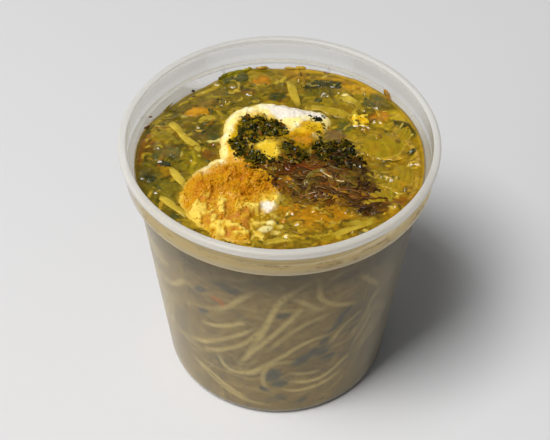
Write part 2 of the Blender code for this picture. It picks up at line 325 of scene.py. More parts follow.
def food_material(name, rough=0.3, coat=0.0, coat_rough=0.08, sss=0.0, sss_radius=(1.0, 0.6, 0.3),
                  sss_scale=0.001, fine=900.0, fine_amount=0.12, broad=180.0, broad_amount=0.1,
                  bump=0.0, bump_scale=700.0, bump_dist=0.0002, rough_vary=0.1, ior=1.4, spec=0.35):
    """Colour from the mesh's own colours, broken up by two scales of noise,
    with an uneven gloss and a fine relief."""
    mat, nt, bsdf, _ = new_material(name)
    tc = nt.nodes.new("ShaderNodeTexCoord")
    obj = tc.outputs["Object"]
    att = nt.nodes.new("ShaderNodeAttribute")
    att.attribute_name = "Col"
    colour = att.outputs["Color"]
    for scale, amount in ((fine, fine_amount), (broad, broad_amount)):
        if amount <= 0:
            continue
        n = noise_node(nt, scale, 4.0, 0.6, coords=obj)
        ramp = nt.nodes.new("ShaderNodeMapRange")
        ramp.inputs["From Min"].default_value = 0.25
        ramp.inputs["From Max"].default_value = 0.75
        ramp.inputs["To Min"].default_value = 1.0 - amount
        ramp.inputs["To Max"].default_value = 1.0 + amount
        nt.links.new(n.outputs["Fac"], ramp.inputs["Value"])
        mul = nt.nodes.new("ShaderNodeVectorMath")
        mul.operation = "SCALE"
        nt.links.new(colour, mul.inputs[0])
        nt.links.new(ramp.outputs["Result"], mul.inputs["Scale"])
        colour = mul.outputs["Vector"]
    nt.links.new(colour, bsdf.inputs["Base Color"])
    rn = noise_node(nt, broad * 1.7, 3.0, 0.5, coords=obj)
    rr = nt.nodes.new("ShaderNodeMapRange")
    rr.inputs["From Min"].default_value = 0.3
    rr.inputs["From Max"].default_value = 0.7
    rr.inputs["To Min"].default_value = max(0.02, rough - rough_vary)
    rr.inputs["To Max"].default_value = rough + rough_vary
    nt.links.new(rn.outputs["Fac"], rr.inputs["Value"])
    nt.links.new(rr.outputs["Result"], bsdf.inputs["Roughness"])
    bsdf.inputs["IOR"].default_value = ior
    bsdf.inputs["Specular IOR Level"].default_value = spec
    bsdf.inputs["Coat Weight"].default_value = coat
    bsdf.inputs["Coat Roughness"].default_value = coat_rough
    if sss > 0:
        bsdf.inputs["Subsurface Weight"].default_value = sss
        bsdf.inputs["Subsurface Radius"].default_value = sss_radius
        bsdf.inputs["Subsurface Scale"].default_value = sss_scale
    if bump > 0:
        bn = noise_node(nt, bump_scale, 5.0, 0.6, coords=obj)
        b = nt.nodes.new("ShaderNodeBump")
        b.inputs["Strength"].default_value = bump
        b.inputs["Distance"].default_value = bump_dist
        nt.links.new(bn.outputs["Fac"], b.inputs["Height"])
        nt.links.new(b.outputs["Normal"], bsdf.inputs["Normal"])
    return mat


def plastic_material(name, haze, colour=(0.87, 0.865, 0.845), rough=0.32, edge=0.25, glow=None, smear=None, back=0.5,
                     film=0.35, flank_shade=None):
    """Clear polypropylene: lets most of the view through, under a milky haze
    that thickens where the wall is seen edge-on and that light from behind
    also reaches (`back`). `glow` = (colour, z0, z1) lets the food's colour
    seep up into the plastic between two heights, and `smear` = (colour, z0,
    z1) puts patches of dried soup between two heights. The last argument is
    painted shade: the colour that the wall's right flank, turned away from
    the light, is darkened towards."""
    mat, nt, bsdf, out = new_material(name)
    tc = nt.nodes.new("ShaderNodeTexCoord")
    obj = tc.outputs["Object"]
    sep = nt.nodes.new("ShaderNodeSeparateXYZ")
    nt.links.new(obj, sep.inputs[0])

    def node(kind, **values):
        n = nt.nodes.new(kind)
        for key, value in values.items():
            setattr(n, key, value)
        return n

    def ranged(value, a, b, lo=0.0, hi=1.0, smooth_step=True):
        mr = node("ShaderNodeMapRange")
        if smooth_step:
            mr.interpolation_type = "SMOOTHSTEP"
        for key, x in (("From Min", a), ("From Max", b), ("To Min", lo), ("To Max", hi)):
            mr.inputs[key].default_value = x
        nt.links.new(value, mr.inputs["Value"])
        return mr.outputs["Result"]

    def math_node(kind, a, b):
        m = node("ShaderNodeMath", operation=kind)
        for i, x in enumerate((a, b)):
            if isinstance(x, bpy.types.NodeSocket):
                nt.links.new(x, m.inputs[i])
            else:
                m.inputs[i].default_value = x
        return m.outputs[0]

    def blend(a, b, fac):
        mx = node("ShaderNodeMix", data_type="RGBA")
        for key, x in (("A", a), ("B", b)):
            if isinstance(x, bpy.types.NodeSocket):
                nt.links.new(x, mx.inputs[key])
            else:
                mx.inputs[key].default_value = (*[float(c) for c in x], 1.0)
        nt.links.new(fac, mx.inputs["Factor"])
        return mx.outputs["Result"]

    n = noise_node(nt, 60.0, 3.0, 0.5, coords=obj)
    base = blend(tuple(c * 0.97 for c in colour), tuple(min(1.0, c * 1.02) for c in colour), n.outputs["Fac"])
    thick = None
    if glow is not None:
        tint, z0, z1 = glow
        if z0 is None:                # follows the colour stored at the mesh's corners
            att = node("ShaderNodeAttribute", attribute_name="Col")
            seep = att.outputs["Fac"]
        else:
            wob = noise_node(nt, 95.0, 3.0, 0.6, coords=obj)
            height = math_node("ADD", math_node("MULTIPLY", wob.outputs["Fac"], 0.006), sep.outputs["Z"])
            seep = ranged(height, (z1 + 3.0) * MM, (z0 + 3.0) * MM)
            seep = math_node("MULTIPLY", seep, ranged(sep.outputs["Y"], 0.022, -0.018))
            seep = math_node("MULTIPLY", seep, ranged(sep.outputs["X"], -0.055, -0.044, 0.12, 1.0))
            seep = math_node("MULTIPLY", seep, ranged(sep.outputs["Z"], 0.0964, 0.1015, 0.5, 1.0))
        base = blend(base, tint, seep)
        thick = math_node("MULTIPLY", seep, 0.6)
    if smear is not None:
        tint, z0, z1 = smear
        squash = node("ShaderNodeMapping")
        squash.inputs["Scale"].default_value = (1.0, 1.0, 3.2)
        nt.links.new(obj, squash.inputs["Vector"])
        blot = noise_node(nt, 88.0, 4.0, 0.62, coords=squash.outputs["Vector"])
        spots = ranged(blot.outputs["Fac"], 0.54, 0.64)
        low = ranged(sep.outputs["Z"], z0 * MM, (z0 + 1.2) * MM)
        high = ranged(sep.outputs["Z"], z1 * MM, (z1 - 2.5) * MM)
        spots = math_node("MULTIPLY", spots, math_node("MULTIPLY", low, high))
        front = ranged(sep.outputs["Y"], 0.008, -0.016)
        spots = math_node("MULTIPLY", spots, math_node("MULTIPLY", front, 0.7))
        base = blend(base, tint, spots)
        thick = spots if thick is None else math_node("MAXIMUM", thick, spots)
    # painted shade: the base colour is darkened on the wall's right flank, which is turned away from the light
    if flank_shade is not None:
        flat = node("ShaderNodeVectorMath", operation="MULTIPLY")
        flat.inputs[1].default_value = (1.0, 1.0, 0.0)
        nt.links.new(obj, flat.inputs[0])
        unit = node("ShaderNodeVectorMath", operation="NORMALIZE")
        nt.links.new(flat.outputs[0], unit.inputs[0])
        way = nt.nodes.new("ShaderNodeSeparateXYZ")
        nt.links.new(unit.outputs[0], way.inputs[0])
        flank = math_node("MULTIPLY", ranged(way.outputs["X"], 0.74, 0.93), ranged(way.outputs["Y"], 0.45, 0.05))
        base = blend(base, flank_shade, math_node("MULTIPLY", flank, 0.55))
    nt.links.new(base, bsdf.inputs["Base Color"])
    nt.links.new(ranged(n.outputs["Fac"], 0.0, 1.0, rough - 0.05, rough + 0.05, False), bsdf.inputs["Roughness"])
    bsdf.inputs["IOR"].default_value = 1.49
    bn = noise_node(nt, 220.0, 2.0, 0.5, coords=obj)
    b = node("ShaderNodeBump")
    b.inputs["Strength"].default_value = 0.08
    b.inputs["Distance"].default_value = 0.0002
    nt.links.new(bn.outputs["Fac"], b.inputs["Height"])
    nt.links.new(b.outputs["Normal"], bsdf.inputs["Normal"])
    milk = node("ShaderNodeMixShader")
    through = node("ShaderNodeBsdfTranslucent")
    nt.links.new(base, through.inputs["Color"])
    milk.inputs[0].default_value = back
    nt.links.new(bsdf.outputs[0], milk.inputs[1])
    nt.links.new(through.outputs[0], milk.inputs[2])
    lw = node("ShaderNodeFresnel")
    lw.inputs["IOR"].default_value = 1.45
    dense = ranged(lw.outputs["Fac"], 0.03, 0.5, haze, min(1.0, haze + edge), False)
    if thick is not None:
        dense = math_node("MINIMUM", math_node("ADD", dense, math_node("MULTIPLY", thick, film)), 1.0)
    tr = node("ShaderNodeBsdfTransparent")
    mix = node("ShaderNodeMixShader")
    nt.links.new(dense, mix.inputs[0])
    nt.links.new(tr.outputs[0], mix.inputs[1])
    nt.links.new(milk.outputs[0], mix.inputs[2])
    nt.links.new(mix.outputs[0], out.inputs["Surface"])
    return mat


def ride(obj, replaces=()):
    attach(obj, "root")
    if replaces:
        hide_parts(*replaces)
    return obj


# --------------------------------------------------------------------------
# Camera, light and floor
# --------------------------------------------------------------------------
def make_camera():
    f, d, e = 1400.0, 509.0, math.radians(42.5)
    rim_z = 108.3
    tu, tv, roll = 278.5, 137.6, math.radians(0.89)
    back = np.array([0, -math.cos(e), math.sin(e)])
    place = np.array([0, 0, rim_z]) + back * d
    right, fwd = np.array([1.0, 0, 0]), -back
    up = np.cross(right, fwd)
    du, dv = (tu - 275) / f, -(tv - 220) / f
    pitch = -math.atan(dv)
    yaw = -math.atan(du * math.cos(pitch))
    f1 = fwd * math.cos(pitch) + up * math.sin(pitch)
    u1 = -fwd * math.sin(pitch) + up * math.cos(pitch)
    f2 = f1 * math.cos(yaw) + right * math.sin(yaw)
    r2 = -f1 * math.sin(yaw) + right * math.cos(yaw)
    r = r2 * math.cos(roll) + u1 * math.sin(roll)
    u = -r2 * math.sin(roll) + u1 * math.cos(roll)
    cam = bpy.data.cameras.new("camera")
    cam.sensor_width = 36.0
    cam.lens = f / 550.0 * 36.0
    cam.clip_start, cam.clip_end = 0.01, 20.0
    obj = bpy.data.objects.new("camera", cam)
    m = Matrix.Identity(4)
    for i in range(3):
        m[i][0], m[i][1], m[i][2], m[i][3] = r[i], u[i], -f2[i], place[i] * MM
    obj.matrix_world = m
    scene.collection.objects.link(obj)
    scene.camera = obj


def area_light(name, place, target, size, power, colour=(1, 1, 1), size_y=None):
    light = bpy.data.lights.new(name, "AREA")
    light.shape = "RECTANGLE" if size_y else "DISK"
    light.size = size
    if size_y:
        light.size_y = size_y
    light.energy = power
    light.color = colour
    obj = bpy.data.objects.new(name, light)
    obj.location = place
    obj.rotation_euler = (Vector(target) - Vector(place)).to_track_quat("-Z", "Y").to_euler()
    scene.collection.objects.link(obj)
    return obj


def make_stage():
    world = bpy.data.worlds.new("studio")
    scene.world = world
    world.use_nodes = True
    bg = world.node_tree.nodes["Background"]
    bg.inputs["Color"].default_value = (0.97, 0.985, 1.0, 1.0)
    bg.inputs["Strength"].default_value = 0.135
    # one soft box high up at the front left: the shadow it throws falls a
    # short way to the right and back
    area_light("key", (-0.74, -0.58, 2.14), (0.0, 0.0, 0.05), 0.92, 51.0, (1.0, 0.993, 0.985), 0.92)
    # a weak broad fill from the left, which lights the left wall of the tub
    area_light("side", (-1.35, -0.62, 0.62), (0.0, 0.0, 0.06), 1.1, 5.6, (1.0, 0.995, 0.985), 0.9)
    floor_mesh = bpy.data.meshes.new("floor")
    s = 2.5
    floor_mesh.from_pydata([(-s, -s, 0), (s, -s, 0), (s, s, 0), (-s, s, 0)], [], [(0, 1, 2, 3)])
    floor = bpy.data.objects.new("floor", floor_mesh)
    floor.location.z = -0.0002
    mat, nt, bsdf, _ = new_material("floor_paper")
    tc = nt.nodes.new("ShaderNodeTexCoord")
    n = noise_node(nt, 1.2, 2.0, 0.5, coords=tc.outputs["Object"])
    mix = nt.nodes.new("ShaderNodeMix")
    mix.data_type = "RGBA"
    mix.inputs["A"].default_value = (0.70, 0.70, 0.71, 1)
    mix.inputs["B"].default_value = (0.74, 0.74, 0.745, 1)
    nt.links.new(n.outputs["Fac"], mix.inputs["Factor"])
    nt.links.new(mix.outputs["Result"], bsdf.inputs["Base Color"])
    bsdf.inputs["Roughness"].default_value = 0.55
    bsdf.inputs["Specular IOR Level"].default_value = 0.25
    floor_mesh.materials.append(mat)
    scene.collection.objects.link(floor)
    scene.view_settings.view_transform = "Standard"
    scene.view_settings.look = "None"
    scene.view_settings.exposure = 0.0
    scene.view_settings.gamma = 1.0


# --------------------------------------------------------------------------
# The tub
# --------------------------------------------------------------------------
def arc(cx, cy, radius, start, end, steps):
    a = np.radians(np.linspace(start, end, steps + 1))
    return [(cx + radius * math.cos(t), cy + radius * math.sin(t)) for t in a]


def rounded(points, radius, steps=4):
    """Rounds the inner corners of an open profile: radius is one number or a
    list, one per inner point."""
    P = [np.array(p, float) for p in points]
    out = [tuple(P[0])]
    for i in range(1, len(P) - 1):
        r = radius[i - 1] if isinstance(radius, (list, tuple)) else radius
        a, b, c = P[i - 1], P[i], P[i + 1]
        u, v = a - b, c - b
        lu, lv = np.linalg.norm(u), np.linalg.norm(v)
        if r <= 0 or lu < 1e-6 or lv < 1e-6:
            out.append(tuple(b))
            continue
        u, v = u / lu, v / lv
        ang = math.acos(float(np.clip(u @ v, -1, 1)))
        if ang > math.radians(176):
            out.append(tuple(b))
            continue
        t = min(r / math.tan(ang / 2), 0.48 * lu, 0.48 * lv)
        p, q = b + u * t, b + v * t
        for s in np.linspace(0, 1, steps + 1):
            out.append(tuple((1 - s) ** 2 * p + 2 * s * (1 - s) * b + s * s * q))
    out.append(tuple(P[-1]))
    return out


def lathe(profile, segs):
    prof = np.array(profile)
    a = np.linspace(0, 2 * math.pi, segs, endpoint=False)
    v = np.stack([prof[:, None, 0] * np.cos(a), prof[:, None, 0] * np.sin(a),
                  np.repeat(prof[:, 1][:, None], segs, axis=1)], axis=-1).reshape(-1, 3)
    return v, grid_faces(len(prof), segs, wrap=True)


def tub_profiles():
    """Outer profile bottom to top, lip, inner profile top to bottom."""
    slope = math.degrees(math.atan2(TOP_R - BASE_R, TOP_R_Z))
    outer = [(0.02, 0.0), (38.0, 0.0)]
    c = 3.4
    cr = wall_r(c) - c / math.cos(math.radians(slope))
    outer += arc(cr, c, c, -90, -slope, 8)
    outer += [(wall_r(z), z) for z in (12, 24, 36, 48, 60, 72, 84, 92)]
    body_top = [(wall_r(99.0), 99.0), (TOP_R + 0.1, TOP_R_Z), (56.1, TOP_R_Z), (56.1, 96.6), (56.9, 96.6), (56.9, 106.1),
                (58.2, 106.1), (58.5, 106.7), (58.5, 108.0)]
    body_top = rounded([(wall_r(92.0), 92.0)] + body_top, [0, 0.35, 0.3, 0.3, 0.3, 0.5, 0.3, 0.5, 0.0], 4)[1:]
    outer += body_top
    # the lip's rounded top, highest a third of the way in
    for t in np.linspace(0.1, 1.0, 12):
        a = t * math.pi * 0.97
        r = 55.8 + 2.7 * (0.5 + 0.5 * math.cos(a))
        z = 108.0 + 1.2 * math.sin(a) ** 0.8 if a < math.pi / 2 else 109.2 - 0.55 * (1 - math.sin(a)) ** 1.4
        outer.append((r, z))
    ledge = 101.8
    inner = rounded([(55.8, 108.4), (55.8, ledge), (53.75, ledge - 0.1), (float(inner_r(100.9)), 100.9)], [0.7, 0.3], 6)
    inner += [(float(inner_r(z)), z) for z in np.arange(100.5, 91.9, -0.4)]
    inner += [(wall_r(z) - WALL, z) for z in (84, 72, 60, 48, 36, 24, 12)]
    ci = c - WALL
    cri = wall_r(c) - WALL - ci / math.cos(math.radians(slope))
    inner += list(reversed(arc(cri, WALL + ci, ci, -90, -slope, 8)))
    inner += [(30.0, WALL), (0.02, WALL)]
    return outer + inner


def make_tub():
    prof = tub_profiles()
    v, f = lathe(prof, 200)
    # a moulded tub is never perfectly round: the lip wavers very slightly
    a = np.arctan2(v[:, 1], v[:, 0])
    lip = smooth(90, 108, v[:, 2])
    v[:, 0] *= 1 + 0.0012 * lip * np.sin(2 * a + 0.7)
    v[:, 1] *= 1 - 0.0010 * lip * np.sin(2 * a + 0.7)
    z = v[f].mean(axis=1)[:, 2]
    r = np.hypot(v[f].mean(axis=1)[:, 0], v[f].mean(axis=1)[:, 1])
    mats = np.zeros(len(f), int)
    mats[(z > 96.5) & (r > 56.0)] = 1
    mats[(z > 106.0)] = 2
    mats[(z > 96.0) & (z < 108.3) & (r < np.minimum(56.0, wall_r(z) - 0.4))] = 3
    # the wall gets a painted shade on its right flank, away from the light
    body = plastic_material("tub_plastic_wall", 0.135, colour=(0.86, 0.835, 0.75), edge=0.72, flank_shade=lin(128, 112, 64))
    collar = plastic_material("tub_plastic_collar", 0.25, colour=(0.93, 0.92, 0.885), edge=0.3, back=0.6,
                              glow=(lin(246, 224, 158), 101.5, 110.0), smear=(lin(150, 112, 50), 97.4, 103.6), film=0.66)
    lip_m = plastic_material("tub_plastic_lip", 0.72, colour=(0.935, 0.93, 0.91), rough=0.28)
    inner = plastic_material("tub_plastic_inner", 0.155, colour=(0.955, 0.95, 0.93), rough=0.34, edge=0.12, back=0.92, glow=(lin(212, 184, 84), None, None),
                             film=0.8)
    # the soup's colour seeps into the plastic just over its edge, most at
    # the two sides
    over = v[:, 2] - (LEVEL + edge_lift(v[:, 0], v[:, 1]))
    around = fbm(v[:, 0] / 7.0, v[:, 1] / 7.0, v[:, 2] / 3.0, 3, 811)
    reach = 0.7 + 1.5 * np.abs(np.sin(a - math.pi / 2)) ** 3 + 1.6 * around
    seep = smooth(1.0, 0.0, over / np.maximum(reach, 0.15)) * smooth(57.0, 56.4, np.hypot(v[:, 0], v[:, 1]))
    obj = mesh_object("tub_shell", v, [f[:, ::-1]], [body, collar, lip_m, inner], np.repeat(seep[:, None], 3, 1),
                      face_mats=mats)
    ride(obj, ("tub",))
    # short ribs between the skirt and the wall
    bag = Bag()
    for k in range(8):
        ang = math.radians(24.5 + 45.0 * k - 90.0)
        c, s = math.cos(ang), math.sin(ang)
        r0, r1, z0, z1, h = wall_r(97) - 0.2, 56.3, 97.1, 99.5, 0.45
        pts = [(r0, -h, z0), (r1, -h, z0), (r1, h, z0), (r0, h, z0), (r0, -h, z1), (r1, -h, z1), (r1, h, z1), (r0, h, z1)]
        vv = [(x * c - y * s, x * s + y * c, zz) for x, y, zz in pts]
        bag.add(vv, [np.array([(0, 3, 2, 1), (0, 1, 5, 4), (1, 2, 6, 5), (2, 3, 7, 6), (3, 0, 4, 7), (4, 5, 6, 7)])], (0.8, 0.8, 0.8))
    ribs = bag.build("tub_ribs", plastic_material("tub_plastic_rib", 0.16, edge=0.2), smooth_shade=False)
    ride(ribs)


# --------------------------------------------------------------------------
# Layout of the food, in millimetres (x to the right, y away, as the camera
# sees it). The outlines of the CAD's toppings are kept.
# --------------------------------------------------------------------------
BACK_CENTRE, BACK_HEIGHT = (-1.0, 13.0), 3.4
BACK_RADII = (16.4, 22.8, 17.5, 17.9, 19.4, 21.2, 20.7, 23.6, 22.0, 17.4, 15.4, 15.0)
FRONT_CENTRE, FRONT_HEIGHT = (-16.0, -20.0), 2.9
FRONT_RADII = (17.5, 16.6, 19.8, 21.8, 20.6, 19.5, 19.5, 18.4, 18.9, 21.3, 21.0, 15.3)
GARLIC_CENTRE, GARLIC_HEIGHT = (-17.5, -15.5), 2.3
GARLIC_RADII = (13.0, 12.0, 12.4, 11.6, 12.2, 13.4, 13.6, 14.2, 12.8, 11.6, 12.2, 13.6)
ONION_CENTRE, ONION_HEIGHT = (16.0, -9.4), 4.2
ONION_RADII = (16.6, 16.2, 18.4, 11.6, 8.6, 11.4, 14.4, 12.0, 11.6, 11.8, 13.9, 18.0)

MINT_MAIN = [(-15.0, 17.9), (-11.0, 20.7), (-6.9, 21.4), (-2.0, 19.7), (1.3, 16.4), (1.8, 12.2), (-3.1, 9.5),
             (-7.5, 9.0), (-10.7, 7.2), (-14.2, 4.7), (-16.9, 5.8), (-15.7, 9.4), (-15.5, 13.6)]
MINT_LOW = [(-17.9, 6.4), (-14.7, 5.9), (-10.6, 5.2), (-7.3, 1.6), (-4.9, -2.4), (-0.5, -2.0), (-0.7, -4.5),
            (-6.4, -5.8), (-11.1, -7.1), (-12.9, -3.6), (-15.2, -1.4), (-17.1, 2.1)]
MINT_MID = [(0.6, 4.8), (3.4, 7.2), (6.2, 5.5), (9.8, 4.2), (12.2, 1.0), (9.8, -1.4), (6.2, -1.8), (2.7, -0.7),
            (1.3, 2.1)]
MINT_RIGHT = [(11.9, 7.1), (15.1, 11.0), (20.0, 10.5), (24.8, 11.5), (28.0, 9.2), (29.5, 3.0), (30.7, -2.7),
              (26.8, -5.1), (22.1, -4.3), (17.4, -1.9), (13.4, 1.5)]
MINT_TIP = [(12.4, 22.8), (15.7, 24.7), (17.7, 22.9), (16.4, 18.0), (16.8, 13.1), (13.5, 12.4), (11.9, 16.6)]
MINT_TOP = [(-2.0, 18.8), (1.3, 19.7), (4.2, 17.7), (2.9, 15.9), (-0.7, 16.4)]
MINT_GAP = [(-15.5, 19.3), (-11.1, 19.9), (-10.4, 15.7), (-11.9, 15.0), (-15.0, 15.6)]
YELLOW = [[(6.2, 15.0), (8.6, 19.3), (12.7, 20.0), (16.0, 18.8), (16.4, 14.0), (11.9, 12.7), (7.8, 10.2), (4.6, 10.1),
           (3.8, 11.9)],
          [(-15.9, 19.0), (-11.8, 20.3), (-15.0, 16.0), (-15.6, 9.3), (-17.4, 4.5), (-17.6, -2.5), (-18.8, -1.9),
           (-18.7, 6.9), (-17.3, 14.1)]]
AMBER = [[(3.0, 11.0), (7.8, 12.3), (11.9, 12.4), (14.3, 9.5), (13.5, 5.9), (9.4, 4.0), (4.6, 7.5), (2.6, 9.2)]]
PALE_YELLOW = [[(-8.2, 6.0), (-5.1, 8.5), (-1.0, 6.8), (-1.4, 3.3), (0.3, 0.4), (-0.9, -2.6), (-4.5, -2.6), (-6.5, 0.8),
                (-7.4, 3.1)],
               [(-8.9, -17.4), (-3.9, -15.9), (0.7, -18.6), (1.2, -22.2), (-3.8, -23.7), (-8.3, -22.4)]]
WHITE = [[(-5.4, 26.7), (-0.5, 29.4), (5.3, 27.0), (11.1, 25.9), (17.7, 24.5), (16.4, 22.5), (9.5, 22.9), (3.7, 21.0),
          (-1.2, 22.1)],
         [(-6.5, -23.6), (-3.6, -22.6), (-1.6, -23.4), (-2.2, -26.6), (-4.2, -27.4), (-6.4, -26.2)]]
GARLIC_SPREAD = [(-17.4, -2.9), (-11.2, -4.2), (-6.4, -6.1), (-2.4, -10.0), (-1.2, -13.9), (-3.1, -17.3), (-6.9, -19.6),
                 (-10.8, -21.8), (-13.8, -24.1), (-16.9, -23.1), (-22.4, -19.9), (-29.3, -22.2), (-33.9, -23.4),
                 (-33.6, -19.6), (-31.0, -14.8), (-26.7, -9.2), (-21.6, -5.2)]
GARLIC_PALE = [(-35.6, -20.0), (-29.2, -23.1), (-22.4, -20.8), (-16.8, -23.9), (-10.7, -22.7), (-6.9, -20.4),
               (-1.4, -21.4), (-5.9, -29.1), (-9.7, -30.3), (-10.2, -41.8), (-16.2, -43.0), (-22.3, -40.0),
               (-27.1, -34.9), (-31.2, -29.7), (-34.5, -26.0)]
ONION_ALL = [(-13.0, -6.2), (-8.0, -5.0), (-2.5, -3.2), (1.5, 0.8), (6.3, 2.1), (11.9, 3.2), (17.4, 4.0), (25.3, 4.0),
             (31.7, -1.2), (33.6, -6.7), (35.4, -15.7), (38.0, -22.2), (35.5, -28.8), (30.9, -27.4), (23.4, -22.4),
             (17.1, -22.6), (9.4, -22.9), (3.6, -18.6), (-0.8, -13.0), (-4.6, -8.6), (-9.0, -7.4)]
MID_STAIN = [(-8.5, -3.0), (-1.0, -3.8), (6.0, -3.0), (13.0, -1.0), (15.0, 5.0), (10.0, 7.0), (5.0, 9.0), (3.0, 13.0),
             (0.0, 14.0), (-3.0, 9.8), (-8.5, 8.8), (-12.0, 5.0)]
OIL_ZONE = [(0.2, -22.8), (6.2, -21.3), (16.3, -22.5), (22.8, -23.7), (22.2, -27.3), (16.2, -31.5), (11.2, -33.7),
            (6.3, -29.7), (2.8, -27.0)]


GREEN_HOLE = [(-9.6, -28.2), (-6.7, -26.4), (-0.7, -27.3), (2.3, -31.4), (-1.0, -38.3), (-8.4, -40.5), (-11.0, -35.7)]


def dome(rho, power):
    return np.clip(1.0 - np.clip(rho, 0, 1.0) ** power, 0.0, 1.0) ** 0.62


def polygon_depth(poly, x, y):
    """Signed distance to a polygon's outline: positive inside."""
    P = np.asarray(poly, float)
    x, y = np.asarray(x, float), np.asarray(y, float)
    shape = x.shape
    x, y = x.ravel(), y.ravel()
    best = np.full(x.shape, 1e9)
    inside = np.zeros(x.shape, bool)
    n = len(P)
    for i in range(n):
        ax, ay = P[i]
        bx, by = P[(i + 1) % n]
        ex, ey = bx - ax, by - ay
        t = np.clip(((x - ax) * ex + (y - ay) * ey) / (ex * ex + ey * ey), 0, 1)
        best = np.minimum(best, np.hypot(x - ax - t * ex, y - ay - t * ey))
        if by != ay:
            cross = (ay > y) != (by > y)
            inside ^= cross & (x < ex * (y - ay) / (by - ay) + ax)
    return np.where(inside, best, -best).reshape(shape)


def soup_z(x, y):
    x, y = np.asarray(x, float), np.asarray(y, float)
    s = (np.sin(0.11 * x + 0.4) * np.cos(0.13 * y - 0.7) + 0.6 * np.sin(0.19 * x - 0.14 * y + 1.9)
         + 0.4 * np.cos(0.24 * y + 0.09 * x + 0.5))
    edge = np.maximum(0.0, 1.0 - np.hypot(x, y) / 53.0)
    return LEVEL + 0.35 * s * np.minimum(1.0, 4.0 * edge) / 2.0


def kashk_height(x, y):
    """Height of the spread cream over the broth: flat-topped, with a raised
    rim round the back and left of the far lobe, thinning to the right."""
    x, y = np.asarray(x, float), np.asarray(y, float)
    rb = share(BACK_CENTRE, BACK_RADII, x, y)
    rf = share(FRONT_CENTRE, FRONT_RADII, x, y)
    fold = 0.10 * np.sin(0.34 * x + 0.21 * y + 0.6) + 0.07 * np.cos(0.48 * y - 0.17 * x)
    rim = 0.9 * np.exp(-((rb - 0.82) / 0.10) ** 2) * smooth(9.0, -6.0, x) - 0.45 * smooth(0.75, 0.35, rb)
    flat = np.clip(1.0 - np.clip(rb, 0, 1) ** 6.0, 0, 1) ** 0.55
    back = flat * (BACK_HEIGHT * (0.94 + fold) * (1 - 0.42 * smooth(3.0, 18.0, x)) + rim)
    front = FRONT_HEIGHT * dome(rf, 5.0) * (0.94 + 0.05 * np.sin(0.5 * x - 0.4 * y))
    big, small = np.maximum(back, front), np.minimum(back, front)
    return big + 0.35 * np.maximum(small, 0) * np.exp(-(big - small) / 1.2)


def garlic_share(x, y):
    """0 in the middle of the fried garlic, 1 on its outline, more outside."""
    d = polygon_depth(GARLIC_SPREAD, x, y)
    return 1.0 - np.minimum(d, 9.0) / 9.0


def mix3(a, b, t):
    t = np.asarray(t, float)[..., None]
    return np.asarray(a) * (1.0 - t) + np.asarray(b) * t


